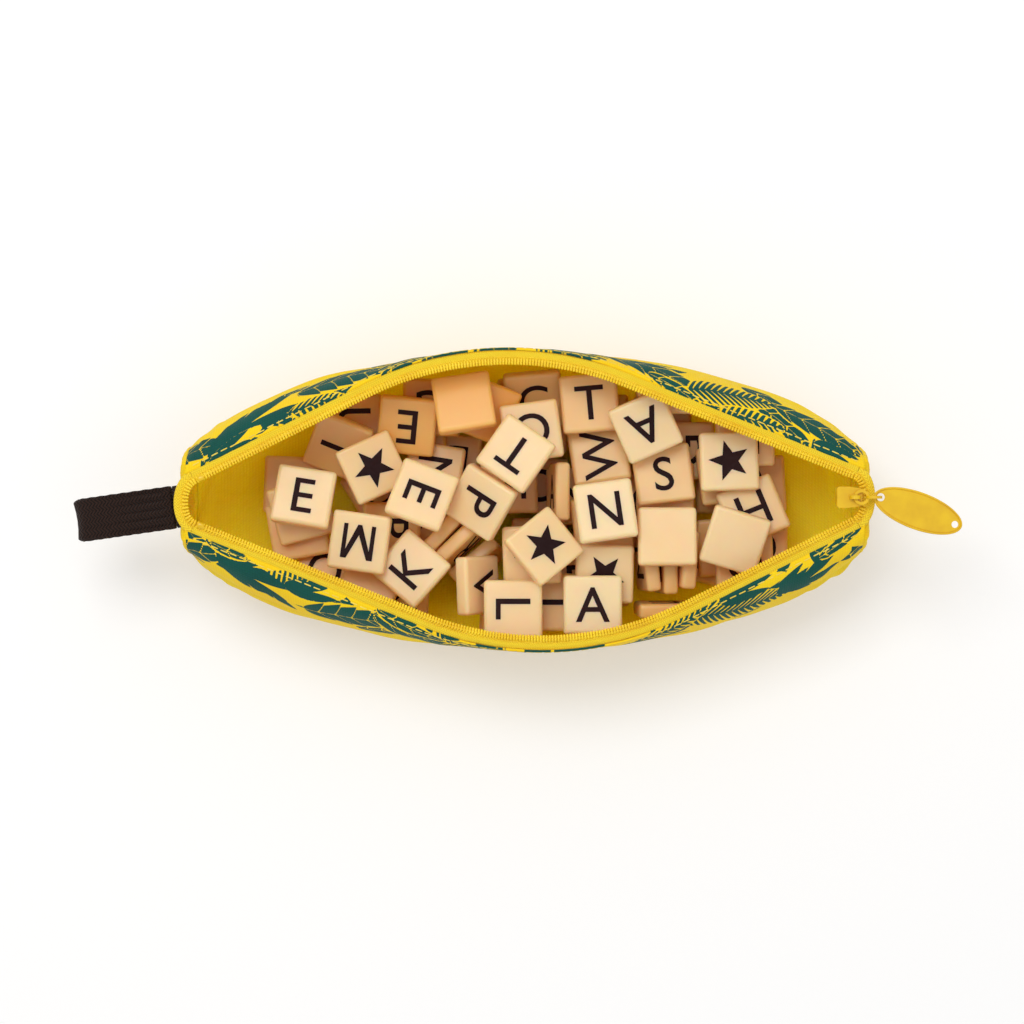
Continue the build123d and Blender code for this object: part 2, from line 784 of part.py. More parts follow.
def settle():
    """Let every tile sink straight down onto what carries it, the lowest tiles first."""
    for tile in sorted(placed, key=lambda tile: tile.middle[2]):
        near = [other for other in neighbours(tile) if other is not tile]
        z = tile.middle[2]
        while free(tile, z - step, near):
            z -= step
        low = z - step
        for _ in range(bisections):
            middle = (z + low) / 2
            if free(tile, middle, near):
                z = middle
            else:
                low = middle
        tile.at(z)


with BuildPart() as one_tile:
    Box(tile_side, tile_side, tile_thickness)
    chamfer(one_tile.edges(), tile_chamfer)

groups = {}


def hidden_tiles():
    """Tiles under the ones that show: passes of flat ones, then of ones on edge where room is left."""
    columns = int(2 * hidden_half_length / column_pitch)
    rows = int(2 * girth_half_width / row_pitch)
    thirds = ("left", "middle", "right")
    turn = 0
    for lean in (0, edge_lean):
        for shift in range(hidden_passes):
            along = 0.5 * (shift % 2) + 0.25 * (shift // 4 % 2) - 0.25
            over = 0.5 * (shift // 2 % 2) + 0.25 * (shift // 4 % 2) - 0.25
            for row in range(rows):
                for column in range(columns):
                    turn += 1
                    x = (column - (columns - 1) / 2 + along) * column_pitch
                    y = (row - (rows - 1) / 2 + over) * row_pitch
                    tile = Tile(x, y, hidden_turn * math.sin(1.7 * turn), lean, 90 * (turn % 2))
                    if place_hidden(tile, layer_top):
                        third = min(int(3 * (x + hidden_half_length) / (2 * hidden_half_length)), 2)
                        groups.setdefault(f"tiles_below_{thirds[third]}", []).append(tile)


# Tiles that show, from the top of the pile down: node, x, y, turn of the tile, lean, the compass
# direction that it leans to, and the height that no corner of it passes.
pile = [
    ("tile_star_mid", 6.1, -15.0, -51, 16, 45, 48.0),
    ("tile_n", 26.0, -3.5, 8, 8, 98, 48.0),
    ("tile_t_mid", -2.9, 15.0, -35, 8, 145, 48.0),
    ("tile_e_mid", -33.3, 1.6, -21, 10, 69, 48.0),
    ("tile_e_left", -71.7, 1.0, -9, 14, 81, 47.0),
    ("tile_a_back", 39.2, 24.0, 24, 7, 250, 47.0),
    ("tile_blank_back", -19.8, 31.6, 9, 18, 99, 46.0),
    ("tile_blank_mid", 46.2, -11.9, 0, 9, 90, 46.5),
    ("tile_s", 45.4, 8.4, 7, 8, 97, 47.0),
    ("tile_blank_right", 66.6, -13.0, -17, 8, 253, 46.0),
    ("tile_star_right", 66.4, 12.6, 2, 5, 92, 45.0),
    ("tile_m", -53.6, -13.6, -8, 8, 172, 47.0),
    ("tile_a_front", 22.0, -34.0, 0, 5, 90, 44.5),
    ("tile_l", -3.8, -35.5, 0, 6, 90, 44.0),
    ("tile_star_left", -49.6, 10.6, 25, 10, 25, 46.5),
    ("tile_k", -37.0, -22.4, -41, 7, 100, 46.0),
    ("tile_t_back", 21.3, 31.8, 5, 4, 95, 44.0),
    ("tile_e_back", -38.6, 24.6, -6, 14, 264, 45.0),
    ("tile_p", -14.4, -0.6, -31, 22, 200, 46.0),
    ("tile_w", 24.6, 14.8, 8.5, 12, 98, 45.0),
    ("tile_o", 3.0, 23.8, 8, 5, 98, 45.0),
    ("tile_star_front", 26.0, -24.0, -1, 5, 270, 43.0),
    ("tile_h", 74.6, -3.4, 22, 8, 112, 44.0),
    ("standing_tiles", 12.2, 1.6, 0, 84, 180, 43.0),
    ("tile_v", -15.4, -27.8, 2, 56, 2, 43.0),
    ("fan_tiles", -25.4, -10.4, 47, 82, 317, 42.0),
    ("fan_tiles", -21.2, -14.4, 44, 80, 314, 43.0),
    ("fan_tiles", -17.2, -18.4, 40, 76, 310, 43.5),
    ("standing_tiles", 40.2, -20.4, 6, 82, 186, 40.0),
    ("standing_tiles", 45.8, -20.0, 1, 82, 181, 40.0),
    ("standing_tiles", 51.4, -19.4, -4, 82, 176, 40.0),
    ("tiles_under_back", -29.4, 7.8, -9, 5, 81, 44.0),
    ("tiles_under_mid", 17.0, 1.4, 1, 4, 180, 42.0),
    ("tiles_under_mid", 1.6, -16.6, 2, 5, 180, 42.0),
    ("tiles_under_mid", -33.0, -5.0, 45, 5, 315, 44.0),
    ("tiles_under_front", 9.0, -33.6, 0, 4, 90, 43.0),
    ("tiles_under_back", -24.6, 12.8, -7, 5, 83, 44.0),
    ("tiles_under_back", -13.0, 29.6, -22, 8, 300, 44.0),
    ("tiles_under_back", 3.0, 33.6, 5, 24, 275, 44.0),
    ("tiles_under_left", -73.0, -3.5, 15, 6, 255, 44.0),
    ("tiles_under_left", -60.0, 18.0, -22, 20, 248, 45.0),
    ("tiles_under_left", -49.3, 3.6, 32, 5, 302, 44.0),
    ("tiles_under_left", -74.6, -9.6, 10, 4, 190, 44.0),
    ("tiles_under_front", -50.0, -26.0, -25, 8, 65, 43.0),
    ("tiles_under_front", -66.0, -22.5, -18, 8, 72, 44.0),
    ("tiles_under_right", 66.8, 8.6, 7, 4, 97, 42.0),
    ("tiles_under_right", 53.5, 16.5, 0, 4, 180, 44.0),
    ("tiles_under_right", 49.0, 4.5, 1, 5, 181, 44.0),
    ("tiles_under_right", 60.0, -21.0, -14, 6, 86, 44.0),
    ("tiles_under_right", 25.4, -8.0, 8, 6, 98, 44.0),
    ("tiles_under_left", -42.5, -7.5, 0, 6, 270, 44.0),
    ("tiles_under_front", 18.0, -27.0, 4, 4, 90, 42.0),
]

for node, x, y, yaw, lean, towards, crown in pile:
    tile = place_showing(x, y, yaw, lean, towards, crown)
    if tile is not None:
        groups.setdefault(node, []).append(tile)
hidden_tiles()
settle()

for node, tiles in groups.items():
    with BuildPart() as group:
        with Locations(*[tile.location() for tile in tiles]):
            add(one_tile.part)
    keep(group.part, node)
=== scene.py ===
"""Travel word tile game case: the looks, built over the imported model.

Lengths are worked out in millimetres and turned into metres where a mesh is made. The origin is
the middle of the flat rest on the belly, +Z is up and +X runs towards the zip pull.
"""

import json
import math

import bpy
import bmesh
import numpy as np
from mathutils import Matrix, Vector, noise


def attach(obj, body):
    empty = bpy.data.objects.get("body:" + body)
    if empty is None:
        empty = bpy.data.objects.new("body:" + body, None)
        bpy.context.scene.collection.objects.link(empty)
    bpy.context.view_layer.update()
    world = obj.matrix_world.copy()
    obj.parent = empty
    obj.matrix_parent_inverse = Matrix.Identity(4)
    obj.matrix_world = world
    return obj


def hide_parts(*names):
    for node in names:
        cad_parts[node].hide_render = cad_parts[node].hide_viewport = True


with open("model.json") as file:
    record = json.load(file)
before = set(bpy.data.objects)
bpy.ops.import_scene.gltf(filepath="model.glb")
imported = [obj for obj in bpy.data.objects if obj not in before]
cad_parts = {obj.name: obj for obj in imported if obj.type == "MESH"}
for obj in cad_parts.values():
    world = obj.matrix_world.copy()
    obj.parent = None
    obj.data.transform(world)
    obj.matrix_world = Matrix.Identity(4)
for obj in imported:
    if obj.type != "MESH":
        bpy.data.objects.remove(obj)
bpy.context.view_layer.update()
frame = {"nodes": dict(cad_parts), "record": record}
MM = 0.001
rng = np.random.default_rng(7)

# ---- Sizes shared with the solids, mm --------------------------------------------------------

HALF_LENGTH = 111.0
GIRTH_HALF_WIDTH = 48.5
GIRTH_HALF_LENGTH = 116.0
GIRTH_SHARE = 0.42
BELLY_RISE = 24.0
BELLY_CURVE = 2.6
BELLY_ROUNDNESS = 2.5
REST_DEPTH = 0.6
CLOTH = 1.2
SEAM_ANGLE = 65.0
SIDE_STEPS = 5
END_PIECE = 3.0
MOUTH_HEIGHT = 50.0
MOUTH_TILT = math.radians(5.7)
MOUTH_HALF = 108.0
WALL_HALF = 108.4
APEX_X, APEX_Y = -10.0, 54.0
STRAP_GAP, PULL_GAP = 4.2, 5.9
BOW_RADIUS = 100.0
TAPE_WIDTH = 3.4
TAPE_THICKNESS = 0.8
TAPE_CLEARANCE = 0.4

SLOPE_L = (APEX_Y - STRAP_GAP) / (MOUTH_HALF + APEX_X)
SLOPE_R = (APEX_Y - PULL_GAP) / (MOUTH_HALF - APEX_X)
H_L, H_R = math.hypot(1, SLOPE_L), math.hypot(1, SLOPE_R)
_shift = BOW_RADIUS * (H_L - H_R) / (SLOPE_L + SLOPE_R)
BOW_X = APEX_X + _shift
BOW_Y = APEX_Y + SLOPE_L * _shift - BOW_RADIUS * H_L
PLANE_Z = MOUTH_HEIGHT + (BOW_Y + BOW_RADIUS) * math.sin(MOUTH_TILT)


def mouth_edge(x, out=0.0):
    """Edge of the back tape, moved out from the mouth, in the tape's sloping plane."""
    x = np.asarray(x, float)
    radius = BOW_RADIUS + out
    left = APEX_Y + SLOPE_L * (x - APEX_X) + out * H_L
    right = APEX_Y - SLOPE_R * (x - APEX_X) + out * H_R
    bow = BOW_Y + np.sqrt(np.maximum(radius**2 - (x - BOW_X) ** 2, 0))
    start, end = BOW_X - radius * SLOPE_L / H_L, BOW_X + radius * SLOPE_R / H_R
    return np.where(x < start, left, np.where(x > end, right, bow))


def tape_edge(x, side, out):
    across = mouth_edge(np.asarray(x, float) * side, out)
    return across * math.cos(MOUTH_TILT), PLANE_Z - across * math.sin(MOUTH_TILT)


def section_sizes(x, side):
    x = np.asarray(x, float)
    rim_y, rim_z = tape_edge(x, side, TAPE_WIDTH + TAPE_CLEARANCE)
    width = GIRTH_HALF_WIDTH * np.sqrt(1 - (x / GIRTH_HALF_LENGTH) ** 2)
    belly_z = BELLY_RISE * (np.abs(x) / HALF_LENGTH) ** BELLY_CURVE - REST_DEPTH
    girth_z = belly_z + GIRTH_SHARE * (rim_z - belly_z)
    width = np.maximum(width, rim_y + CLOTH)
    turn = math.radians(SEAM_ANGLE / SIDE_STEPS)
    over, down = (width - rim_y) * math.sin(turn), (rim_z - girth_z) * (1 - math.cos(turn))
    rim_y = rim_y + CLOTH * down / np.hypot(over, down)
    return rim_y, rim_z, width, girth_z, belly_z


def wall_point(x, side, angle):
    """Outer wall: 0 at the rim, 90 at the widest line, 180 under the belly's middle."""
    rim_y, rim_z, width, girth_z, belly_z = section_sizes(x, side)
    angle = np.asarray(angle, float)
    upper = np.radians(np.minimum(angle, 90))
    lower = np.radians(np.clip(angle - 90, 0, 90))
    power = 2 / BELLY_ROUNDNESS
    y_up = rim_y + (width - rim_y) * np.sin(upper)
    z_up = girth_z + (rim_z - girth_z) * np.cos(upper)
    y_low = width * np.maximum(np.cos(lower), 0) ** power
    z_low = girth_z - (girth_z - belly_z) * np.sin(lower) ** power
    low = angle > 90
    return side * np.where(low, y_low, y_up), np.where(low, z_low, z_up)


# ---- Making meshes ---------------------------------------------------------------------------


def add_mesh(name, verts, faces, materials, face_mats=None, uv=None, smooth=True):
    """A mesh object from points in millimetres. uv is one pair per vertex, in millimetres."""
    mesh = bpy.data.meshes.new(name)
    mesh.from_pydata((np.asarray(verts, float) * MM).tolist(), [], [tuple(f) for f in faces])
    for material in materials:
        mesh.materials.append(material)
    if face_mats is not None:
        mesh.polygons.foreach_set("material_index", np.asarray(face_mats, np.int32))
    mesh.polygons.foreach_set("use_smooth", np.full(len(mesh.polygons), smooth))
    if uv is not None:
        layer = mesh.uv_layers.new(name="run")
        index = np.empty(len(mesh.loops), np.int32)
        mesh.loops.foreach_get("vertex_index", index)
        layer.data.foreach_set("uv", np.asarray(uv, np.float32)[index].ravel())
    mesh.update()
    obj = bpy.data.objects.new(name, mesh)
    bpy.context.scene.collection.objects.link(obj)
    return obj


def float_layer(obj, name, values):
    layer = obj.data.attributes.new(name, "FLOAT", "POINT")
    layer.data.foreach_set("value", np.asarray(values, np.float32))


def grid_faces(rows, columns, start=0, loop=False, flip=False):
    """Quads of a rows by columns grid of points; loop joins the last column to the first."""
    i, j = np.meshgrid(np.arange(rows - 1), np.arange(columns if loop else columns - 1), indexing="ij")
    k = (j + 1) % columns
    quads = np.stack([i * columns + j, (i + 1) * columns + j, (i + 1) * columns + k, i * columns + k], -1)
    quads = quads.reshape(-1, 4) + start
    return quads[:, ::-1] if flip else quads


def tube_caps(rows, columns, start=0):
    """Faces that close the two ends of a looped grid."""
    first = [start + j for j in range(columns)]
    last = [start + (rows - 1) * columns + j for j in range(columns)]
    return [first, last[::-1]]


class Parts:
    """Collects many small closed shapes for one mesh."""

    def __init__(self):
        self.verts, self.faces, self.mats, self.uv, self.count = [], [], [], [], 0

    def add(self, verts, faces, mat=0, uv=None):
        verts = np.asarray(verts, float)
        self.verts.append(verts)
        self.uv.append(np.zeros((len(verts), 2)) if uv is None else np.asarray(uv, float))
        for face in faces:
            self.faces.append([v + self.count for v in face])
        self.mats += [mat] * len(faces) if np.isscalar(mat) else list(mat)
        self.count += len(verts)

    def build(self, name, materials, smooth=True):
        return add_mesh(
            name, np.concatenate(self.verts), self.faces, materials, self.mats, np.concatenate(self.uv), smooth
        )


def capsule(length, width, height, around=8, rings=3):
    """A rounded bar along X, centred on the origin: points and faces."""
    verts, faces = [], []
    stations = []
    for i in range(rings + 1):
        turn = math.pi / 2 * i / rings
        stations.append((-length / 2 + width / 2 * (1 - math.sin(turn)), math.cos(turn)))
    stations = [(x, r) for x, r in stations[::-1]]
    xs = [(-length / 2, 0.12)] + [(-length / 2 + width / 2 * (1 - math.cos(math.pi / 2 * i / rings)),
                                  math.sin(math.pi / 2 * i / rings)) for i in range(1, rings + 1)]
    xs = xs + [(-x, r) for x, r in xs[::-1]]
    for x, r in xs:
        for j in range(around):
            turn = 2 * math.pi * j / around
            verts.append((x, r * width / 2 * math.cos(turn), r * height / 2 * math.sin(turn)))
    faces = [list(f) for f in grid_faces(len(xs), around, loop=True)] + tube_caps(len(xs), around)
    return np.array(verts), faces


def place(verts, origin, x_dir, y_dir, z_dir):
    axes = np.array([x_dir, y_dir, z_dir], float)
    return np.asarray(verts) @ axes + np.asarray(origin, float)


def unit(v):
    v = np.asarray(v, float)
    return v / np.linalg.norm(v)


# ---- Materials -------------------------------------------------------------------------------


def linear(r, g, b):
    """Linear colour from a screen colour of 0 to 255."""
    out = []
    for c in (r, g, b):
        c /= 255
        out.append(c / 12.92 if c <= 0.04045 else ((c + 0.055) / 1.055) ** 2.4)
    return (*out, 1.0)


class Nodes:
    """Short hand for building one material's nodes."""

    def __init__(self, name):
        self.material = bpy.data.materials.new(name)
        self.material.use_nodes = True
        self.tree = self.material.node_tree
        self.shader = self.tree.nodes["Principled BSDF"]

    def new(self, kind, **values):
        node = self.tree.nodes.new(kind)
        for key, value in values.items():
            if hasattr(node, key):
                setattr(node, key, value)
            else:
                node.inputs[key].default_value = value
        return node

    def link(self, a, b):
        self.tree.links.new(a, b)

    def math(self, operation, a, b=None, c=None):
        node = self.tree.nodes.new("ShaderNodeMath")
        node.operation = operation
        for i, value in enumerate((a, b, c)):
            if value is None:
                continue
            if isinstance(value, (int, float)):
                node.inputs[i].default_value = value
            else:
                self.link(value, node.inputs[i])
        return node.outputs[0]

    def mix(self, factor, a, b, blend="MIX"):
        node = self.tree.nodes.new("ShaderNodeMix")
        node.data_type = "RGBA"
        node.blend_type = blend
        for socket, value in ((node.inputs[0], factor), (node.inputs[6], a), (node.inputs[7], b)):
            if isinstance(value, (int, float, tuple)):
                socket.default_value = value
            else:
                self.link(value, socket)
        return node.outputs[2]

    def run(self):
        """The two coordinates of the cloth's own run, in millimetres."""
        uv = self.new("ShaderNodeUVMap", uv_map="run")
        split = self.new("ShaderNodeSeparateXYZ")
        self.link(uv.outputs[0], split.inputs[0])
        return split.outputs[0], split.outputs[1]

    def place3(self):
        return self.new("ShaderNodeTexCoord").outputs["Object"]

    def noise(self, scale, detail=3.0, vector=None, rough=0.5):
        node = self.new("ShaderNodeTexNoise", Scale=scale, Detail=detail, Roughness=rough)
        self.link(vector or self.place3(), node.inputs["Vector"])
        return node.outputs[0]

    def ramp(self, value, low, high, a=0.0, b=1.0):
        node = self.new("ShaderNodeMapRange")
        for i, v in enumerate((low, high, a, b)):
            node.inputs[i + 1].default_value = v
        self.link(value, node.inputs[0])
        return node.outputs[0]

    def bump(self, height, distance, strength=1.0, below=None):
        node = self.new("ShaderNodeBump", Strength=strength, Distance=distance)
        self.link(height, node.inputs["Height"])
        if below is not None:
            self.link(below, node.inputs["Normal"])
        return node.outputs[0]

    def finish(self, colour=None, rough=None, normal=None, **values):
        if colour is not None:
            if isinstance(colour, tuple):
                self.shader.inputs["Base Color"].default_value = colour
            else:
                self.link(colour, self.shader.inputs["Base Color"])
        if rough is not None:
            if isinstance(rough, (int, float)):
                self.shader.inputs["Roughness"].default_value = rough
            else:
                self.link(rough, self.shader.inputs["Roughness"])
        if normal is not None:
            self.link(normal, self.shader.inputs["Normal"])
        for key, value in values.items():
            self.shader.inputs[key.replace("_", " ")].default_value = value
        return self.material


def weave(n, pitch):
    """Height of a plain weave, 0 to 1, with threads pitch apart."""
    u, v = n.run()
    a = n.math("SINE", n.math("MULTIPLY", u, math.pi / pitch))
    b = n.math("SINE", n.math("MULTIPLY", v, math.pi / pitch))
    return n.math("ABSOLUTE", n.math("MULTIPLY", a, b))


def cloth_material(name, light, dark, pitch, depth, leaf=None, gap_shade=0.5, glow=0.3, sheen=0.04,
                   radius=(0.0020, 0.0011, 0.0002)):
    """Woven cloth: threads with painted shade between them, soft blotches, light that passes through and, with leaf, a
    leaf print.
    """
    n = Nodes(name)
    threads = weave(n, pitch)
    blotch = n.ramp(n.noise(55, 4), 0.3, 0.7)
    ground = n.mix(n.math("MULTIPLY", blotch, 0.35), light, dark)
    if leaf is not None:
        layer = n.new("ShaderNodeAttribute", attribute_name="leaf")
        fine = n.noise(1100, 2)
        edge = n.math("ADD", layer.outputs["Fac"], n.math("MULTIPLY_ADD", fine, 0.24, -0.12))
        mask = n.ramp(edge, -0.07, 0.07)
        ink = n.mix(n.math("MULTIPLY", blotch, 0.6), leaf, tuple(0.7 * c for c in leaf[:3]) + (1.0,))
        ground = n.mix(mask, ground, ink)
    # Painted shade: where the threads dip, the colour is multiplied towards an orange-brown shade colour.
    thread_gap_shade = n.math("MULTIPLY_ADD", threads, -gap_shade, gap_shade)
    colour = n.mix(thread_gap_shade, ground, (0.84, 0.62, 0.34, 1.0), "MULTIPLY")
    rough_bump = n.bump(n.noise(700, 3), 0.00025, 0.35)
    normal = n.bump(threads, depth * MM, 0.8, rough_bump)
    return n.finish(
        colour, 0.75, normal, Sheen_Weight=sheen, Sheen_Roughness=0.5, Specular_IOR_Level=0.22,
        Subsurface_Weight=glow, Subsurface_Radius=radius, Subsurface_Scale=1.0,
    )


YELLOW = linear(255, 219, 24)
YELLOW_DEEP = linear(252, 200, 12)
TEAL = linear(8, 84, 76)

m_band = cloth_material("printed_band_cloth", YELLOW, YELLOW_DEEP, 0.8, 0.08, leaf=TEAL, gap_shade=0.28, glow=0.12)
m_plain = cloth_material("plain_yellow_cloth", YELLOW, YELLOW_DEEP, 0.8, 0.08, gap_shade=0.32)
m_inside = cloth_material(
    "inside_cloth", linear(255, 206, 40), linear(255, 192, 26), 1.0, 0.10, gap_shade=0.3, glow=1.0,
    radius=(0.0080, 0.0036, 0.0005),
)
m_floor_inside = cloth_material(
    "belly_inside_cloth", linear(255, 214, 52), linear(255, 202, 36), 1.0, 0.12, gap_shade=0.3, glow=0.9,
    radius=(0.0060, 0.0032, 0.0005),
)


def tape_material():
    """Zip tape: a herringbone weave across the tape, ribbed along its edges."""
    n = Nodes("zip_tape_weave")
    u, v = n.run()
    zig = n.math("ABSOLUTE", n.math("SUBTRACT", n.math("FRACT", n.math("MULTIPLY", v, 0.55)), 0.5))
    slant = n.math("ADD", n.math("MULTIPLY", u, 1.35), n.math("MULTIPLY", zig, 2.6))
    chevron = n.math("ABSOLUTE", n.math("SINE", n.math("MULTIPLY", slant, math.pi)))
    blotch = n.ramp(n.noise(120, 3), 0.3, 0.7)
    ground = n.mix(n.math("MULTIPLY", blotch, 0.4), linear(255, 224, 44), linear(247, 202, 24))
    colour = n.mix(n.math("MULTIPLY_ADD", chevron, -0.4, 0.4), ground, linear(196, 140, 6))
    normal = n.bump(chevron, 0.00016, 0.9)
    return n.finish(colour, 0.62, normal, Sheen_Weight=0.08, Sheen_Roughness=0.45, Specular_IOR_Level=0.3)


def plain_material(name, light, dark, rough, grain, depth, blotch_scale=80, **values):
    """Moulded, painted or twisted stuff: two close colours, uneven gloss and a fine grain."""
    n = Nodes(name)
    blotch = n.ramp(n.noise(blotch_scale, 4), 0.35, 0.65)
    colour = n.mix(blotch, light, dark)
    gloss = n.ramp(n.noise(grain * 0.6, 3), 0.3, 0.7, rough * 0.85, rough * 1.15)
    normal = n.bump(n.noise(grain, 3), depth * MM, 0.5)
    return n.finish(colour, gloss, normal, **values)


m_tape = tape_material()
m_coil = plain_material("zip_coil_plastic", linear(255, 220, 34), linear(246, 200, 18), 0.36, 900, 0.02)
m_thread = plain_material("stitch_thread", linear(250, 224, 92), linear(236, 200, 60), 0.6, 2500, 0.05)


def tile_material():
    """Glossy cream plastic that lets light in; an attribute layer mixes in orange, as painted glow on tiles deep in
    the pile and near the back wall and as a little random tone.
    """
    n = Nodes("tile_plastic")
    blotch = n.ramp(n.noise(40, 4), 0.35, 0.65)
    cream = n.mix(blotch, linear(253, 217, 170), linear(250, 210, 158))
    glow_and_tone = n.new("ShaderNodeAttribute", attribute_name="glow_and_tone")
    colour = n.mix(glow_and_tone.outputs["Fac"], cream, linear(250, 178, 84))
    gloss = n.ramp(n.noise(300, 3), 0.3, 0.7, 0.29, 0.39)
    normal = n.bump(n.noise(500, 3), 0.012 * MM, 0.5)
    return n.finish(
        colour, gloss, normal, Subsurface_Weight=0.6, Subsurface_Radius=(0.0080, 0.0028, 0.0009),
        Subsurface_Scale=1.0,
    )


m_tile = tile_material()
m_ink = plain_material(
    "tile_ink", linear(40, 14, 14), linear(30, 8, 9), 0.65, 1500, 0.02, Specular_IOR_Level=0.15,
)
m_metal = plain_material(
    "painted_metal", linear(236, 192, 14), linear(226, 178, 8), 0.36, 700, 0.012, 160, Coat_Weight=0.25,
    Coat_Roughness=0.18, Specular_IOR_Level=0.35,
)


def webbing_material():
    """Dark braided webbing: a herringbone of fine cords."""
    n = Nodes("braided_webbing")
    u, v = n.run()
    zig = n.math("ABSOLUTE", n.math("SUBTRACT", n.math("FRACT", n.math("MULTIPLY", v, 0.42)), 0.5))
    slant = n.math("ADD", n.math("MULTIPLY", u, 0.85), n.math("MULTIPLY", zig, 2.0))
    cords = n.math("ABSOLUTE", n.math("SINE", n.math("MULTIPLY", slant, math.pi)))
    fuzz = n.noise(1400, 4)
    colour = n.mix(cords, linear(8, 4, 3), linear(50, 32, 25))
    colour = n.mix(n.ramp(fuzz, 0.5, 0.8, 0.0, 0.4), colour, linear(62, 42, 34))
    normal = n.bump(cords, 0.0004, 0.9, n.bump(fuzz, 0.0002, 0.6))
    return n.finish(colour, 0.85, normal, Sheen_Weight=0.06, Sheen_Roughness=0.5, Specular_IOR_Level=0.15)


m_web = webbing_material()

# ---- Cloth walls -----------------------------------------------------------------------------


def ease(t):
    t = np.clip(t, 0, 1)
    return t * t * (3 - 2 * t)


def waves(x, s, seed, count=9, long=60.0, short=14.0):
    """Soft folds: slow waves in many directions, about -1 to 1."""
    local = np.random.default_rng(seed)
    total = np.zeros(np.broadcast(x, s).shape)
    for _ in range(count):
        length = math.exp(local.uniform(math.log(short), math.log(long)))
        turn = local.uniform(-0.9, 0.9)
        phase = local.uniform(0, 2 * math.pi)
        k = 2 * math.pi / length
        bend = 0.8 * np.sin(k * 0.6 * s + phase * 2)
        total += (length / long) ** 0.6 * np.sin(k * (x * math.cos(turn) + s * math.sin(turn)) + phase + bend)
    return total / math.sqrt(count)


def section_runs(xs, side, angles):
    """Points of the outer wall for each x (rows) and angle (columns), with run lengths."""
    y = np.empty((len(xs), len(angles)))
    z = np.empty_like(y)
    for j, angle in enumerate(angles):
        y[:, j], z[:, j] = wall_point(xs, side, angle)
    steps = np.hypot(np.diff(y, axis=1), np.diff(z, axis=1))
    run = np.concatenate([np.zeros((len(xs), 1)), np.cumsum(steps, axis=1)], axis=1)
    return y, z, run


def outward(y, z, side):
    """Unit vectors across each run that point out of the pouch."""
    dy, dz = np.gradient(y, axis=1), np.gradient(z, axis=1)
    length = np.hypot(dy, dz) + 1e-9
    ny, nz = -dz / length * side, dy / length * side
    return ny, nz


def leaf_field(x, s, leaves):
    """Signed distance, mm, into the leaves of the print. A later leaf lies over the earlier ones."""
    best = np.full(x.shape, -5.0)
    for cx, cs, turn, length, width, kind in leaves:
        a = math.radians(turn)
        along = (x - cx) * math.cos(a) + (s - cs) * math.sin(a)
        across = -(x - cx) * math.sin(a) + (s - cs) * math.cos(a)
        p = along / (length / 2)
        across = across + 0.14 * width * (p * p - 0.4)
        out = np.abs(across)
        hull = width / 2 * np.clip(1 - p * p, 0, 1) ** 0.5 * (1 - 0.22 * p)
        inside = (np.abs(p) < 1) * 1.0
        if kind == "broad":
            saw = ((along - 0.8 * out) / 5.6) % 1.0
            d = hull * (0.80 + 0.20 * saw) - out
            slit = (np.minimum(saw, 1 - saw) * 5.6 - 0.16) * np.where(out > 0.62 * hull, 1, 9)
            d = np.minimum(d, slit)
            d = np.minimum(d, out - 0.09)
        elif kind == "frond":
            leaflet = 0.5 - np.abs(((along - 0.85 * out) / 2.1) % 1.0 - 0.5)
            d = np.minimum(hull - out, (leaflet - 0.07 - 0.2 * out / (hull + 0.1)) * 2.1)
            d = np.maximum(d, np.minimum(0.28 - out, inside))
        else:
            r = np.hypot(along + length * 0.3, across)
            blade = np.abs(np.sin(5 * np.arctan2(across, along + length * 0.3)))
            d = np.minimum((0.22 + 0.5 * blade) * length - r, hull * 1.15 - out)
        cover = (np.abs(p) < 1) & (hull + 0.4 > out)
        best = np.where(cover, d, best)
    return best


# Rows of leaves, lowest first: distance from the rim, spacing, length, width and lean
LEAF_ROWS = [
    (12.0, 31.0, 20.0, 7.5, 30), (4.0, 20.0, 23.0, 8.5, 32), (7.0, 25.0, 32.0, 11.5, 15), (1.4, 28.0, 20.0, 5.5, 10),
]


def leaf_layout(seed):
    """Where the leaves of one band's print lie: a sparse outer row, then a dense one along the rim."""
    local = np.random.default_rng(seed)
    kinds = ("broad", "frond", "broad", "fan")
    leaves = []
    for row, (middle, pitch, length, width, lean) in enumerate(LEAF_ROWS):
        count = int(2 * WALL_HALF / pitch) + 1
        for k in range(count):
            x = -WALL_HALF + pitch * (k + 0.5 * (row % 2)) + local.uniform(-3, 3)
            turn = lean * (1 if (k + row) % 2 else -1) + local.uniform(-8, 8)
            size = local.uniform(0.85, 1.15) * (0.8 if abs(x) > 92 else 1.0)
            kind = kinds[int(local.integers(0, 4))]
            leaves.append((x, middle + local.uniform(-1, 1), turn, length * size, width * size, kind))
    return leaves


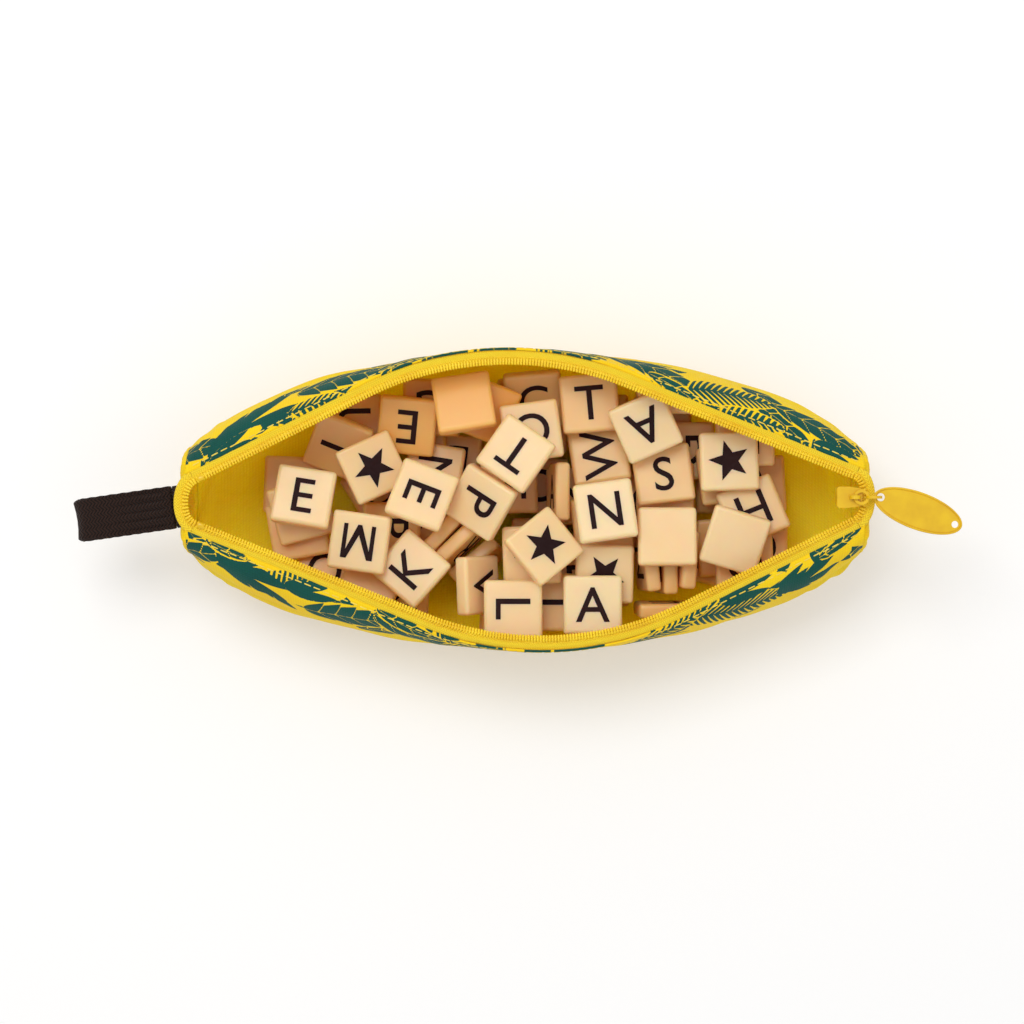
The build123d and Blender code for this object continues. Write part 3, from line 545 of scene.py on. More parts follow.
def cloth_shell(name, xs, y, z, run, side, thick, push, materials, leaves=None):
    """A closed cloth wall: outer face, turned edges and inner face, pushed out by its folds."""
    ny, nz = outward(y, z, side)
    oy, oz = y + ny * push, z + nz * push
    iy, iz = oy - ny * thick, oz - nz * thick
    rows, columns = y.shape
    x = np.repeat(xs[:, None], columns, axis=1)
    lips = []
    for end in (0, columns - 1):
        turn_out = 1 if end else -1
        ty = np.gradient(y, axis=1)[:, end] * turn_out
        tz = np.gradient(z, axis=1)[:, end] * turn_out
        size = np.hypot(ty, tz) + 1e-9
        lip = []
        for part in (0.25, 0.5, 0.75):
            turn = math.pi * part
            a, b = math.cos(turn), math.sin(turn)
            mid_y, mid_z = (oy[:, end] + iy[:, end]) / 2, (oz[:, end] + iz[:, end]) / 2
            lip.append((
                mid_y + a * ny[:, end] * thick / 2 + b * ty / size * thick / 2,
                mid_z + a * nz[:, end] * thick / 2 + b * tz / size * thick / 2,
            ))
        lips.append(lip)
    loop_y = [*oy.T, *[p[0] for p in lips[1]], *iy.T[::-1], *[p[0] for p in lips[0][::-1]]]
    loop_z = [*oz.T, *[p[1] for p in lips[1]], *iz.T[::-1], *[p[1] for p in lips[0][::-1]]]
    width = len(loop_y)
    verts = np.stack([np.repeat(xs[:, None], width, axis=1), np.array(loop_y).T, np.array(loop_z).T], -1)
    s = np.concatenate([run, run[:, -1:].repeat(3, 1), run[:, ::-1], run[:, :1].repeat(3, 1)], axis=1)
    uv = np.stack([np.repeat(xs[:, None], width, axis=1), s], -1).reshape(-1, 2)
    faces = grid_faces(rows, width, loop=True, flip=side < 0)
    j = np.tile(np.arange(width), rows - 1)
    mats = np.where((j >= columns + 2) & (j < 2 * columns + 3), 1, 0)
    caps = []
    for row in (0, rows - 1):
        base = row * width
        ring = [base + k for k in range(width)]
        caps.append(ring if (row == 0) == (side > 0) else ring[::-1])
    all_faces = [*faces.tolist(), *caps]
    obj = add_mesh(name, verts.reshape(-1, 3), all_faces, materials, [*mats.tolist(), 0, 0], uv)
    if leaves is not None:
        field = leaf_field(uv[:, 0], uv[:, 1], leaves)
        on_inner = np.tile((np.arange(width) > columns + 1) & (np.arange(width) < 2 * columns + 3), rows)
        float_layer(obj, "leaf", np.where(on_inner, -5.0, field))
    return obj


band_x = np.linspace(-WALL_HALF, WALL_HALF, 650)
band_angles = SEAM_ANGLE * np.linspace(0, 1, 90) ** 0.85


def band_push(x, s, seed, run_end):
    """How far the folds stand the band out, mm: nothing at its rim."""
    fold = waves(x, s, seed, 9, 46, 12) * 0.55 + 0.45
    gather = waves(x * 3.0, s * 0.5, seed + 1, 5, 30, 10) * ease((np.abs(x) - 88) / 18) * 0.5
    hold = ease(s / 7.0) * ease((run_end - s) / 4.0)
    return np.clip(0.75 * fold + gather, 0, 2.2) * hold


def make_band(side, name, leaves, seed):
    y, z, run = section_runs(band_x, side, band_angles)
    x = np.repeat(band_x[:, None], y.shape[1], axis=1)
    push = band_push(x, run, seed, run[:, -1:])
    obj = cloth_shell(name, band_x, y, z, run, side, 0.85, push, [m_band, m_inside], leaves)
    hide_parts(name.replace("_cloth", "_panel"))
    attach(obj, "pouch")
    return obj


make_band(1, "back_side_cloth", leaf_layout(3), 11)
make_band(-1, "front_side_cloth", leaf_layout(8), 23)


def make_belly():
    """The plain panel, seam to seam, as one closed shell."""
    xs = np.linspace(-WALL_HALF, WALL_HALF, 361)
    angles = np.concatenate([np.linspace(SEAM_ANGLE + 0.9, 90, 14), 90 + 90 * np.linspace(0, 1, 44)[1:] ** 1.1])
    back = section_runs(xs, 1, angles)
    front = section_runs(xs, -1, angles)
    y = np.concatenate([back[0], front[0][:, ::-1][:, 1:]], axis=1)
    z = np.concatenate([back[1], front[1][:, ::-1][:, 1:]], axis=1)
    steps = np.hypot(np.diff(y, axis=1), np.diff(z, axis=1))
    run = np.concatenate([np.zeros((len(xs), 1)), np.cumsum(steps, axis=1)], axis=1)
    x = np.repeat(xs[:, None], y.shape[1], axis=1)
    fold = waves(x, run, 5, 10, 60, 16) * 0.6 + 0.5
    gather = waves(x * 2.6, run * 0.6, 6, 6, 34, 10) * ease((np.abs(x) - 84) / 20) * 0.6
    end = run[:, -1:]
    hold = ease(run / 4) * ease((end - run) / 4) * ease((z - 1.0) / 6)
    push = np.clip(0.8 * fold + gather, 0, 2.4) * hold
    z = np.maximum(z, 0.0)
    obj = cloth_shell("belly_cloth", xs, y, z, run, 1, 0.85, push, [m_plain, m_floor_inside])
    low = obj.data
    for v in low.vertices:
        v.co.z = max(v.co.z, 0.0)
    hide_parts("belly_panel", "back_lower_panel", "front_lower_panel")
    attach(obj, "pouch")


make_belly()


END_TUCK = 1.2  # the end cloth reaches this far less high than the solid, under the turned tape


def make_end(end, name, node):
    """Gathered cloth over a blunt end: rings of the end section drawn together, with pleats."""
    top = float(tape_edge(MOUTH_HALF, 1, 0)[1]) - TAPE_THICKNESS - END_TUCK
    angles = np.linspace(14, 180, 60)
    outline = []
    for side in (1, -1):
        y, z = wall_point(np.full(len(angles), end * MOUTH_HALF), side, angles)
        half = list(zip(y, np.minimum(z, top)))
        outline += half if side == 1 else half[::-1][1:]
    outline = np.array(outline)
    outline = np.concatenate([outline, np.linspace(outline[-1], outline[0], 14)[1:-1]])
    middle = np.array([0.0, (outline[:, 1].min() + top) / 2])
    count = len(outline)
    rings = []
    inner = [(2.05, 0.15), (2.05, 0.4), (1.95, 0.59), (1.75, 0.74), (1.4, 0.85), (0.8, 0.93), (0.3, 0.955)]
    outer = [(0.2, 0.99), (0.9, 0.985), (1.6, 0.95), (2.2, 0.88), (2.6, 0.76), (2.8, 0.6), (2.9, 0.4), (2.9, 0.15)]
    turn = np.arange(count) / count * 2 * math.pi
    for out, share in inner + outer:
        depth = ease(out / 2.0)
        pleat = 0.28 * np.sin(13 * turn + 0.8 * math.sin(3 * out)) * depth * share
        x = end * (MOUTH_HALF + out + pleat * 0.6)
        p = middle + (outline - middle) * share
        rings.append(np.stack([np.broadcast_to(x, count), p[:, 0], p[:, 1]], -1))
    verts = np.concatenate([*rings])
    faces = [list(f) for f in grid_faces(len(rings), count, loop=True, flip=end > 0)]
    caps = tube_caps(len(rings), count)
    if end > 0:
        caps = [c[::-1] for c in caps]
    uv = np.stack([verts[:, 1], verts[:, 2]], -1)
    inner_faces = len(inner) * count
    mats = [1] * inner_faces + [0] * (len(faces) - inner_faces) + [1, 0]
    obj = add_mesh(name, verts, faces + caps, [m_plain, m_floor_inside], mats, uv)
    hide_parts(node)
    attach(obj, "pouch")


make_end(-1, "strap_end_cloth", "strap_end_piece")
make_end(1, "pull_end_cloth", "pull_end_piece")

# ---- Zip -------------------------------------------------------------------------------------


def along_mouth(side, out, count, start=-MOUTH_HALF, end=MOUTH_HALF):
    """Points on the top of one tape at out from its inner edge, evenly spaced, with directions."""
    x = np.linspace(start, end, 2001)
    y, z = tape_edge(x, side, out)
    pts = np.stack([x, side * y, z], -1)
    length = np.concatenate([[0], np.cumsum(np.linalg.norm(np.diff(pts, axis=0), axis=1))])
    at = np.linspace(0, length[-1], count)
    pts = np.stack([np.interp(at, length, pts[:, k]) for k in range(3)], -1)
    direction = np.gradient(pts, axis=0)
    direction /= np.linalg.norm(direction, axis=1)[:, None]
    return pts, direction, at


def across_of(direction, side):
    """Unit vectors in the tape's plane that point away from the mouth, and the plane's normal."""
    normal = np.array([0, side * math.sin(MOUTH_TILT), math.cos(MOUTH_TILT)])
    across = np.cross(normal, direction) * side
    return across / np.linalg.norm(across, axis=1)[:, None], normal


TAPE_PROFILE = [
    (0.0, -0.35), (0.05, -0.08), (0.3, 0.0), (0.8, 0.0), (1.4, -0.02), (2.0, -0.02), (2.5, 0.02), (2.9, 0.06),
    (3.25, 0.03), (3.6, -0.12), (4.0, -0.22), (4.15, -0.45), (3.9, -0.62), (3.2, -0.6), (2.0, -0.6), (0.8, -0.6),
    (0.2, -0.6),
]
TURN_START = 105.2  # the tapes start to turn round the blunt ends this far from the middle
TURN_PULL = {-1: 4.2, 1: 3.6}  # how far the turn swings out at each end
TURN_DIP = 0.6


def make_tape(side, name, node):
    """One tape: a woven strip with a raised edge cord, from the teeth to under the band."""
    profile = TAPE_PROFILE
    base, direction, at = along_mouth(side, 0.0, 420, -TURN_START, TURN_START)
    across, normal = across_of(direction, side)
    verts, uv = [], []
    for k, (out, up) in enumerate(profile):
        ripple = 0.05 * np.sin(at * 0.9 + side) * (out / 3.4)
        verts.append(base + across * out + normal * (up + ripple)[:, None])
        uv.append(np.stack([at, np.full(len(at), out)], -1))
    verts = np.stack(verts, axis=1).reshape(-1, 3)
    uv = np.stack(uv, axis=1).reshape(-1, 2)
    faces = [list(f) for f in grid_faces(len(base), len(profile), loop=True, flip=side > 0)]
    caps = tube_caps(len(base), len(profile))
    obj = add_mesh(name, verts, faces + caps, [m_tape], None, uv)
    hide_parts(node)
    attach(obj, "pouch")


make_tape(1, "back_tape_strip", "back_zip_tape")
make_tape(-1, "front_tape_strip", "front_zip_tape")


def make_coil(side, name, nodes):
    """The open half of the zip: a row of coil turns with the stitching that holds them."""
    parts = Parts()
    turn_verts, turn_faces = capsule(2.3, 0.86, 1.0, around=8, rings=3)
    base, direction, _ = along_mouth(side, 0.0, 236, -TURN_START + 1, TURN_START - 1)
    across, normal = across_of(direction, side)
    for p, d, a in zip(base, direction, across):
        parts.add(place(turn_verts, p + a * 0.42 + normal * 0.28, a, d, normal), turn_faces)
    stitch_verts, stitch_faces = capsule(1.0, 0.36, 0.34, around=6, rings=2)
    for out, up, lean in ((0.25, 0.74, 0.5), (0.75, 0.70, -0.5), (1.35, 0.10, 0.5), (1.85, 0.06, -0.5)):
        base, direction, _ = along_mouth(side, out, 236, -TURN_START + 1, TURN_START - 1)
        across, normal = across_of(direction, side)
        for p, d, a in zip(base, direction, across):
            line = unit(d + a * lean)
            parts.add(place(stitch_verts, p + normal * up, line, np.cross(normal, line), normal), stitch_faces, 1)
    obj = parts.build(name, [m_coil, m_coil])
    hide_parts(*nodes)
    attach(obj, "pouch")


make_coil(1, "back_coil_turns", ["back_zip_coil"])
make_coil(-1, "front_coil_turns", ["front_zip_coil"])


def make_topstitch(side, name):
    """Thread dashes just outside the turned-in edge of the printed band."""
    parts = Parts()
    verts, faces = capsule(2.35, 0.42, 0.34, around=6, rings=2)
    xs = np.linspace(-105, 105, 72)
    for x in xs:
        run_y, run_z, run = section_runs(np.array([x - 0.6, x, x + 0.6]), side, band_angles)
        j = int(np.argmin(np.abs(run[1] - 1.35)))
        p = np.array([x, run_y[1, j], run_z[1, j]])
        d = unit([1.2, run_y[2, j] - run_y[0, j], run_z[2, j] - run_z[0, j]])
        ny, nz = outward(run_y, run_z, side)
        normal = unit([0, ny[1, j], nz[1, j]])
        normal = unit(normal - d * np.dot(normal, d))
        parts.add(place(verts, p + normal * 0.06, d, np.cross(normal, d), normal), faces)
    obj = parts.build(name, [m_thread])
    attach(obj, "pouch")


make_topstitch(1, "back_topstitch")
make_topstitch(-1, "front_topstitch")


def tape_turn(end, count):
    """The mouth's inner edge round one blunt end, from the back tape to the front one."""
    ends = []
    for side in (1, -1):
        x = np.array([end * (TURN_START - 0.2), end * TURN_START])
        y, z = tape_edge(x, side, 0.0)
        points = np.stack([x, side * y, z], -1)
        ends.append((points[1], unit(points[1] - points[0])))
    (p0, t0), (p3, t3) = ends
    p1, p2 = p0 + t0 * TURN_PULL[end], p3 + t3 * TURN_PULL[end]
    t = np.linspace(0, 1, count)[:, None]
    base = (1 - t) ** 3 * p0 + 3 * (1 - t) ** 2 * t * p1 + 3 * (1 - t) * t**2 * p2 + t**3 * p3
    base[:, 2] -= TURN_DIP * np.sin(np.pi * t[:, 0]) ** 2
    direction = np.gradient(base, axis=0)
    direction /= np.linalg.norm(direction, axis=1)[:, None]
    tilt = np.cos(np.pi * t[:, 0]) * math.sin(MOUTH_TILT)
    normal = np.stack([np.zeros(count), tilt, np.full(count, math.cos(MOUTH_TILT))], -1)
    normal /= np.linalg.norm(normal, axis=1)[:, None]
    across = np.cross(normal, direction) * end
    across /= np.linalg.norm(across, axis=1)[:, None]
    at = np.concatenate([[0], np.cumsum(np.linalg.norm(np.diff(base, axis=0), axis=1))])
    return base, direction, across, normal, at


def make_turn(end, name, node):
    """The two tapes' ends joined round a blunt end, with coil turns up to the middle of it."""
    base, direction, across, normal, at = tape_turn(end, 61)
    verts, uv = [], []
    for out, up in TAPE_PROFILE:
        verts.append(base + across * out + normal * (up - 0.01))
        uv.append(np.stack([at, np.full(len(at), out)], -1))
    verts = np.stack(verts, axis=1).reshape(-1, 3)
    uv = np.stack(uv, axis=1).reshape(-1, 2)
    parts = Parts()
    faces = [list(f) for f in grid_faces(61, len(TAPE_PROFILE), loop=True, flip=end > 0)]
    parts.add(verts, faces + tube_caps(61, len(TAPE_PROFILE)), 0, uv)
    count = int(at[-1] / 0.9)
    base, direction, across, normal, _ = tape_turn(end, count)
    turn_verts, turn_faces = capsule(2.3, 0.86, 1.0, around=8, rings=3)
    stitch_verts, stitch_faces = capsule(1.0, 0.36, 0.34, around=6, rings=2)
    for p, d, a, n in zip(base, direction, across, normal):
        parts.add(place(turn_verts, p + a * 0.42 + n * 0.28, a, d, n), turn_faces, 1)
        for out, up, lean in ((0.25, 0.74, 0.5), (0.75, 0.70, -0.5), (1.35, 0.10, 0.5), (1.85, 0.06, -0.5)):
            line = unit(d + a * lean)
            parts.add(place(stitch_verts, p + a * out + n * up, line, np.cross(n, line), n), stitch_faces, 1)
    obj = parts.build(name, [m_tape, m_coil])
    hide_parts(node)
    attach(obj, "pouch")


make_turn(-1, "strap_end_turn", "strap_end_tape_fold")
make_turn(1, "pull_end_turn", "pull_end_tape_fold")


def make_stop(side, name, node):
    """Small crimped clip at the strap end of one row of teeth."""
    base, direction, _ = along_mouth(side, 0.35, 200, -TURN_START + 0.4, -TURN_START + 3.2)
    across, normal = across_of(direction, side)
    verts, faces = capsule(2.8, 2.0, 1.5, around=20, rings=5)
    k = len(base) // 2
    parts = Parts()
    parts.add(place(verts, base[k] + normal[None, :][0] * 0.42, direction[k], across[k], normal), faces)
    obj = parts.build(name, [m_metal])
    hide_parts(node)
    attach(obj, "pouch")


make_stop(1, "back_stop_clip", "back_top_stop")
make_stop(-1, "front_stop_clip", "front_top_stop")

# ---- Strap -----------------------------------------------------------------------------------


def make_strap():
    """Braided webbing folded into a loop, ribbed along its length."""
    pitch, yaw = math.radians(10), math.radians(8)
    swing = 13.8 / 2 * math.sin(yaw)
    root = np.array([-(MOUTH_HALF + END_PIECE + 0.3 + 1.3 + swing), -2.4, 47.0])
    d = np.array([-math.cos(pitch) * math.cos(yaw), -math.cos(pitch) * math.sin(yaw), -math.sin(pitch)])
    across = np.array([math.sin(yaw), -math.cos(yaw), 0])
    up = np.cross(across, d)
    if up[2] < 0:
        up = -up
    bend = 34 - (6 / 2 + 1.3) - 1.3
    path = []
    for s in np.linspace(-0.5, bend, 60):
        path.append((s, 0.66 + 2.98 * float(ease((s - 3) / (bend - 3)))))
    for t in np.linspace(0, math.pi, 26)[1:-1]:
        path.append((bend + 3.64 * math.sin(t), 3.64 * math.cos(t)))
    path += [(s, -h) for s, h in path[:60][::-1]]
    path = np.array(path)
    tangent = np.gradient(path, axis=0)
    tangent /= np.linalg.norm(tangent, axis=1)[:, None]
    normal = np.stack([-tangent[:, 1], tangent[:, 0]], -1)
    length = np.concatenate([[0], np.cumsum(np.linalg.norm(np.diff(path, axis=0), axis=1))])
    half = 13.8 / 2
    ws = np.linspace(-half, half, 61)
    edge = 0.42 * (1 - (np.abs(ws) / half) ** 14)
    ribs = np.abs(np.sin(ws / half * math.pi * 2.5)) - 0.5
    verts, uv = [], []
    for k in range(len(path)):
        s = path[k, 0]
        layer = 1 if k < len(path) / 2 else -1
        cup = 0.5 * (ws / half) ** 2 * ease((s - 14) / 14) * layer
        corner = np.clip((np.abs(ws) / half - 0.8) / 0.2, 0, 1) ** 2
        flare = (1.1 * ((ws / half) ** 2 - 0.55) - 1.9 * corner) * ease((s - bend + 9) / 12)
        fold = ribs * (0.95 * ease((s - 0.3) / 2.5) * (1 - ease((s - 7) / 18)) + 0.05)
        wobble = 1 + 0.010 * math.sin(length[k] * 1.7)
        for sign, order in ((1, slice(None)), (-1, slice(None, None, -1))):
            off = (sign * edge + (fold if sign > 0 else 0) - cup * 0.6)[order]
            p2 = path[k][None, :] + normal[k][None, :] * off[:, None]
            along = p2[:, :1] + flare[order][:, None]
            verts.append(root + along * d + p2[:, 1:] * up + ws[order][:, None] * across * wobble)
            uv.append(np.stack([np.full(61, length[k]), ws[order]], -1))
    verts, uv = np.concatenate(verts), np.concatenate(uv)
    faces = [list(f) for f in grid_faces(len(path), 122, loop=True)]
    obj = add_mesh("strap_webbing", verts, faces + tube_caps(len(path), 122), [m_web], None, uv)
    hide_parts("carrying_strap")
    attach(obj, "strap")

    socket = [(-1.5 * math.cos(t), 1.5 * math.sin(t)) for t in np.linspace(0.76, -0.76, 9)]
    profile = [(-4.2, 1.0), (-2.5, 1.04), *socket, (-2.5, -1.04), (-4.2, -1.0)]
    rows, uv = [], []
    for j, w in enumerate(ws):
        for reach, height in profile:
            lift = 0.2 * ribs[j] * ease((-0.9 - reach) / 1.2) if height > 0 else 0.0
            rows.append(root + d * reach + up * (height * edge[j] / 0.42 + lift) + across * w * 0.985)
            uv.append((reach, w))
    faces = [list(f) for f in grid_faces(61, len(profile), loop=True)]
    stub = add_mesh("strap_stub", rows, faces + tube_caps(61, len(profile)), [m_web], None, uv)
    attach(stub, "pouch")


make_strap()

# ---- Tiles -----------------------------------------------------------------------------------

TILE = (19.0, 19.0, 4.8)


def rounded_tile():
    """One tile with rounded edges, centred on the origin."""
    bm = bmesh.new()
    bmesh.ops.create_cube(bm, size=1.0)
    bmesh.ops.scale(bm, vec=Vector(TILE), verts=bm.verts)
    bmesh.ops.bevel(bm, geom=list(bm.edges), offset=1.25, segments=4, profile=0.5, affect="EDGES")
    verts = np.array([v.co[:] for v in bm.verts])
    faces = [[v.index for v in f.verts] for f in bm.faces]
    bm.free()
    return verts, faces


def letter_shape(text, height=11.2, weight=0.005):
    """A capital letter as a thin inlay, centred, cap height in millimetres."""
    curve = bpy.data.curves.new("letter", "FONT")
    curve.body = text
    curve.size = 1.0
    curve.extrude = 0.02
    curve.offset = weight
    curve.resolution_u = 6
    obj = bpy.data.objects.new("letter", curve)
    bpy.context.scene.collection.objects.link(obj)
    bpy.context.view_layer.update()
    mesh = bpy.data.meshes.new_from_object(obj.evaluated_get(bpy.context.evaluated_depsgraph_get()))
    verts = np.array([v.co[:] for v in mesh.vertices])
    faces = [list(p.vertices) for p in mesh.polygons]
    bpy.data.objects.remove(obj)
    bpy.data.meshes.remove(mesh)
    bpy.data.curves.remove(curve)
    low, high = verts.min(0), verts.max(0)
    scale = height / (high[1] - low[1])
    verts[:, :2] = (verts[:, :2] - (low[:2] + high[:2]) / 2) * scale
    verts[:, 2] = np.where(verts[:, 2] > 0, 0.03, -0.25)
    return verts, faces


def letter_m(height=11.2, width=10.6, stroke=1.4):
    """A capital M as a thin inlay, drawn point by point because the font's own closes up when bold."""
    h, w = height / 2, width / 2
    pts = [
        (-w, -h), (-w, h), (-w + 1.9, h), (0, -h + 3.4), (w - 1.9, h), (w, h), (w, -h), (w - stroke, -h),
        (w - stroke, h - 2.9), (0.65, -h), (-0.65, -h), (-w + stroke, h - 2.9), (-w + stroke, -h),
    ]
    count = len(pts)
    verts = [(x, y, 0.03) for x, y in pts] + [(x, y, -0.25) for x, y in pts]
    faces = [list(range(count))[::-1], list(range(count, 2 * count))]
    faces += [[(k + 1) % count, k, k + count, (k + 1) % count + count][::-1] for k in range(count)]
    return np.array(verts), faces


def star_shape(outer=6.9, inner=2.9):
    """A plain five-pointed star as a thin inlay."""
    pts = []
    for k in range(10):
        r = outer if k % 2 == 0 else inner
        turn = math.pi / 2 + math.pi * k / 5
        pts.append((r * math.cos(turn), r * math.sin(turn)))
    verts = [(x, y, 0.03) for x, y in pts] + [(x, y, -0.25) for x, y in pts]
    faces = [list(range(10)), list(range(19, 9, -1))]
    faces += [[k, k + 10, (k + 1) % 10 + 10, (k + 1) % 10] for k in range(10)]
    return np.array(verts), faces


def tile_frames(node):
    """Middle (mm) and axes of every tile in a CAD node, from its loose parts."""
    mesh = frame["nodes"][node].data
    points = np.array([v.co[:] for v in mesh.vertices]) / MM
    keys, index = np.unique(np.round(points, 2), axis=0, return_inverse=True)
    index = index.ravel()
    parent = list(range(len(keys)))

    def find(a):
        while parent[a] != a:
            parent[a] = parent[parent[a]]
            a = parent[a]
        return a

    for poly in mesh.polygons:
        first = find(index[poly.vertices[0]])
        for v in poly.vertices[1:]:
            parent[find(index[v])] = first
    groups = {}
    for poly in mesh.polygons:
        groups.setdefault(find(index[poly.vertices[0]]), []).append(poly)
    out = []
    for polys in groups.values():
        pts = np.array([points[v] for p in polys for v in p.vertices])
        normals = {}
        for p in polys:
            n = np.array(p.normal[:])
            for key in normals:
                if abs(np.dot(key, n)) > 0.999:
                    normals[key] += p.area
                    break
            else:
                normals[tuple(n)] = p.area
        ordered = sorted(normals, key=lambda k: -normals[k])
        z_dir = unit(ordered[0])
        x_dir = next(np.array(k) for k in ordered[1:] if abs(np.dot(k, z_dir)) < 0.05)
        x_dir = unit(x_dir - z_dir * np.dot(x_dir, z_dir))
        if z_dir[2] < 0:
            z_dir = -z_dir
        axes = np.array([x_dir, np.cross(z_dir, x_dir), z_dir])
        local = pts @ axes.T
        out.append(((local.max(0) + local.min(0)) / 2 @ axes, axes))
    return sorted(out, key=lambda t: tuple(np.round(t[0], 1)))


# Marks on the tiles that show: node, the mark, and its turn clockwise.
MARKS = {
    "tile_e_left": ("E", 8), "tile_m": ("M", 188), "tile_e_mid": ("E", 111), "tile_k": ("K", -49),
    "tile_p": ("P", 138), "tile_t_mid": ("T", 214), "tile_o": ("O", 0), "tile_t_back": ("T", -5),
    "tile_w": ("W", -90), "tile_a_back": ("A", 156), "tile_s": ("S", -7), "tile_n": ("N", -8),
    "tile_a_front": ("A", 0), "tile_l": ("L", 90), "tile_e_back": ("E", 186), "tile_v": ("V", 92),
    "tile_h": ("H", -22), "tile_star_left": ("*", 25), "tile_star_mid": ("*", 10),
    "tile_star_right": ("*", 200), "tile_star_front": ("*", 40),
}
UNDER = ["I", "O", "R", "U", "A", "N", "D", "", "G", "C", "", "T", "B", "I", ""]


def make_tiles():
    body, faces = rounded_tile()
    shapes = {"*": star_shape(), "M": letter_m(), "": None}
    bodies = frame["record"]["behaviour"]["bodies"]
    body_of = {node: name for name, nodes in bodies.items() for node in nodes}
    turn = 0
    local = np.random.default_rng(5)
    for node in sorted(frame["nodes"]):
        if not node.startswith(("tile", "fan_tiles", "standing_tiles")):
            continue
        parts = Parts()
        glow_and_tone_values = []
        for middle, axes in tile_frames(node):
            turn += 1
            # Painted glow: tiles low in the pile and tiles near the back wall turn more orange, standing in for light
            # bounced off and let through the cloth; a small random share only varies the tone.
            low, lit = ease((42 - middle[2]) / 22), ease((middle[1] - 16) / 12) * ease((2 - middle[0]) / 16)
            glow_and_tone_amount = 0.45 * low + 0.6 * lit + local.uniform(0, 0.2)
            glow_and_tone_values += [glow_and_tone_amount] * len(body)
            mark, clockwise = MARKS.get(node, ("", 0))
            if node not in MARKS and not node.startswith("tile_blank"):
                mark, clockwise = UNDER[turn % len(UNDER)], 90 * (turn % 4)
            parts.add(place(body, middle, *axes), faces, 0, body[:, :2])
            if not mark:
                continue
            if mark not in shapes:
                shapes[mark] = letter_shape(mark)
            verts, mark_faces = shapes[mark]
            a = math.radians(clockwise)
            want = np.array([math.sin(a), math.cos(a), 0])
            up = max((axes[0], -axes[0], axes[1], -axes[1]), key=lambda v: np.dot(v, want))
            if mark == "*":
                up = unit(want - axes[2] * np.dot(want, axes[2]))
            right = np.cross(up, axes[2])
            origin = middle + axes[2] * TILE[2] / 2
            parts.add(place(verts, origin, right, up, axes[2]), mark_faces, 1)
            glow_and_tone_values += [0.0] * len(verts)
        obj = parts.build(node + "_body", [m_tile, m_ink])
        float_layer(obj, "glow_and_tone", glow_and_tone_values)
        flat = np.array([p.area for p in obj.data.polygons]) > 3e-4 * 0.3
        smooth = np.array([m == 0 for m in parts.mats]) & ~flat
        obj.data.polygons.foreach_set("use_smooth", smooth)
        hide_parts(node)
        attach(obj, body_of[node])


make_tiles()

# ---- Metal -----------------------------------------------------------------------------------

for node in ("zip_slider", "pull_link"):
    piece = frame["nodes"][node]
    piece.data.materials.clear()
    piece.data.materials.append(m_metal)
    bevel = piece.modifiers.new("edge", "BEVEL")
    bevel.width = 0.00018
    bevel.segments = 2
    bevel.limit_method = "ANGLE"
chain = frame["nodes"]["closed_chain"]
chain.data.materials.clear()
chain.data.materials.append(m_coil)


def make_tag():
    """Oval tag with a raised rolled rim, a hole for the link and a free hole at its tip."""
    pitch, yaw = math.radians(3), math.radians(20)
    d = np.array([math.cos(pitch) * math.cos(yaw), -math.cos(pitch) * math.sin(yaw), -math.sin(pitch)])
    side = np.array([math.sin(yaw), math.cos(yaw), 0])
    normal = np.cross(d, side)
    pivot = np.array([112.9, 0.85, 57.349])
    hole, free = 1.3, 1.1
    middle = 30 / 2 - hole - 1.0
    free_at = 30 - hole - 1.0 - free - 1.3
    rim = [(1.0, 0.0), (0.985, 0.32), (0.955, 0.46), (0.905, 0.46), (0.885, 0.07), (0.862, 0.07), (0.85, 0.2)]
    count = 144
    turn = np.arange(count) / count * 2 * math.pi

    def ring(share, up):
        inset = (1 - share) * 6.0
        return np.stack([middle + (15 - inset) * np.cos(turn), (6 - inset) * np.sin(turn), np.full(count, up)], -1)

    bm = bmesh.new()
    rings = [ring(s, -h) for s, h in rim[::-1]] + [ring(s, h) for s, h in rim[1:]]
    grid = [[bm.verts.new(p) for p in r] for r in rings]
    for a, b in zip(grid, grid[1:]):
        for k in range(count):
            bm.faces.new([a[k], a[(k + 1) % count], b[(k + 1) % count], b[k]])
    circles = []
    for up in (-0.2, 0.2):
        pair = []
        for cx, r in ((0.0, hole), (free_at, free)):
            pair.append([bm.verts.new((cx + r * math.cos(t), r * math.sin(t), up)) for t in np.linspace(0, 2 * math.pi, 29)[:-1]])
        circles.append(pair)
    for low, high in zip(*circles):
        for k in range(28):
            bm.faces.new([low[k], high[k], high[(k + 1) % 28], low[(k + 1) % 28]])
    for edge_ring, pair in ((grid[0], circles[0]), (grid[-1], circles[1])):
        edges = []
        for loop in (edge_ring, *pair):
            for k in range(len(loop)):
                edge = bm.edges.get((loop[k], loop[(k + 1) % len(loop)]))
                edges.append(edge or bm.edges.new((loop[k], loop[(k + 1) % len(loop)])))
        bmesh.ops.triangle_fill(bm, use_beauty=True, use_dissolve=False, edges=edges)
    bmesh.ops.recalc_face_normals(bm, faces=bm.faces)
    verts = np.array([v.co[:] for v in bm.verts])
    bm.verts.index_update()
    faces = [[v.index for v in f.verts] for f in bm.faces]
    bm.free()
    obj = add_mesh("tag_plate", place(verts, pivot, d, side, normal), faces, [m_metal], None, verts[:, :2])
    obj.data.set_sharp_from_angle(angle=math.radians(38))
    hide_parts("pull_tag")
    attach(obj, "tag")


make_tag()

# ---- Floor, light and camera -----------------------------------------------------------------

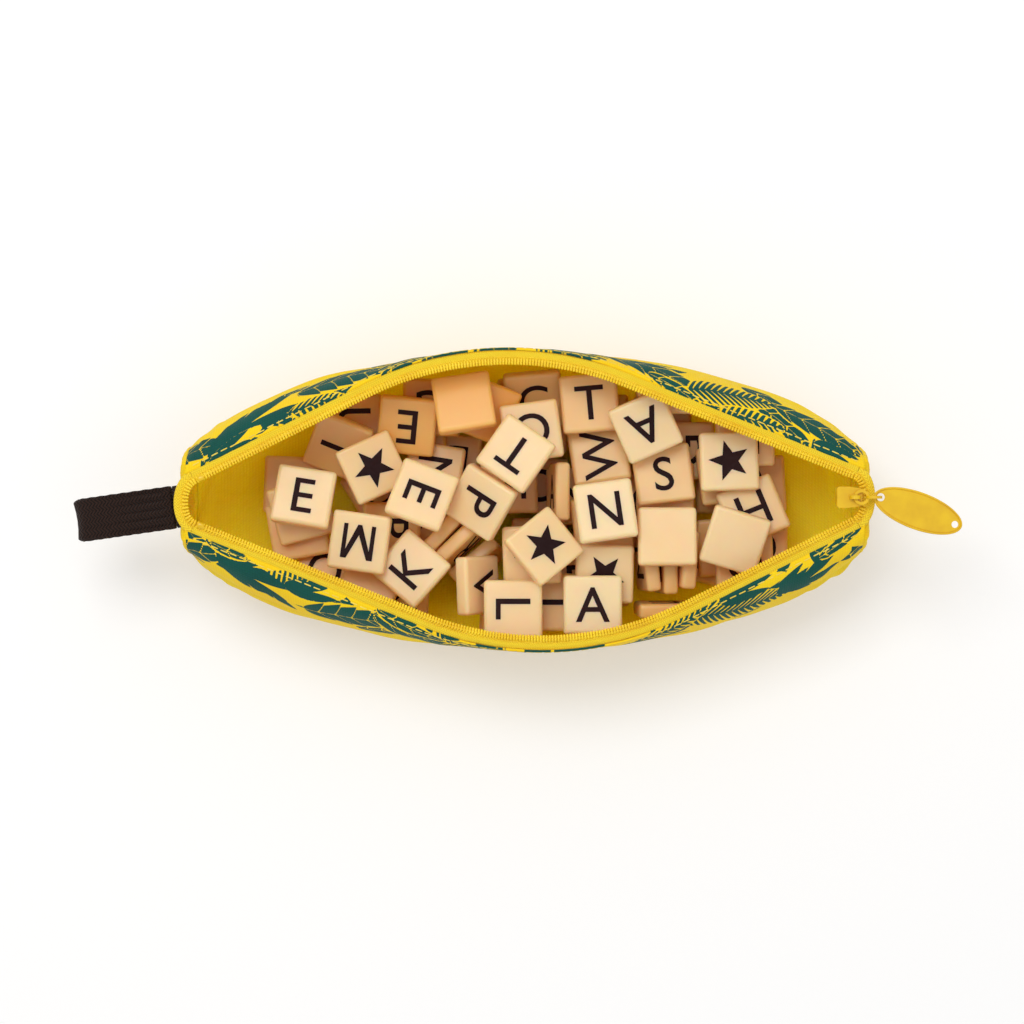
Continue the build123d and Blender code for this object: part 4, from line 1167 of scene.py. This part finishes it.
FLOOR_LIFT = 0.18
floor = add_mesh("floor", [(-2000, -2000, 0), (2000, -2000, 0), (2000, 2000, 0), (-2000, 2000, 0)], [(0, 1, 2, 3)], [])
fn = Nodes("pale_floor")
fn.finish((0.83, 0.825, 0.82, 1.0), 0.9)
path = fn.new("ShaderNodeLightPath")
seen = fn.math("MAXIMUM", path.outputs["Is Camera Ray"], path.outputs["Is Glossy Ray"])
seen = fn.math("MAXIMUM", seen, path.outputs["Is Transmission Ray"])
lift = fn.new("ShaderNodeEmission", Color=(1.0, 1.0, 1.0, 1.0))
fn.link(fn.math("MULTIPLY", seen, FLOOR_LIFT), lift.inputs["Strength"])
both = fn.new("ShaderNodeAddShader")
fn.link(fn.shader.outputs[0], both.inputs[0])
fn.link(lift.outputs[0], both.inputs[1])
fn.link(both.outputs[0], fn.tree.nodes["Material Output"].inputs["Surface"])
floor.data.materials.append(fn.material)

scene = bpy.context.scene
scene.view_settings.view_transform = "Standard"
world = bpy.data.worlds.new("soft_room")
world.use_nodes = True
world.node_tree.nodes["Background"].inputs[0].default_value = (1.0, 1.0, 1.0, 1.0)
world.node_tree.nodes["Background"].inputs[1].default_value = 0.7
scene.world = world


def lamp(name, place_at, aim, size, power):
    light = bpy.data.lights.new(name, "AREA")
    light.shape = "RECTANGLE"
    light.size, light.size_y = size
    light.energy = power
    obj = bpy.data.objects.new(name, light)
    obj.location = place_at
    obj.rotation_euler = (Vector(aim) - Vector(place_at)).to_track_quat("-Z", "Y").to_euler()
    scene.collection.objects.link(obj)


lamp("key", (-0.24, 0.44, 1.12), (0, 0, 0.03), (0.6, 0.5), 5.2)
lamp("fill", (0.5, -0.4, 1.1), (0, 0, 0.03), (0.9, 0.9), 0.6)

camera_data = bpy.data.cameras.new("camera")
camera_data.sensor_width = 36.0
camera_data.lens = 87.9
camera = bpy.data.objects.new("camera", camera_data)
camera.location = (-0.00416, -0.00384, 0.851)
camera.rotation_euler = (0, 0, 0)
scene.collection.objects.link(camera)
scene.camera = camera
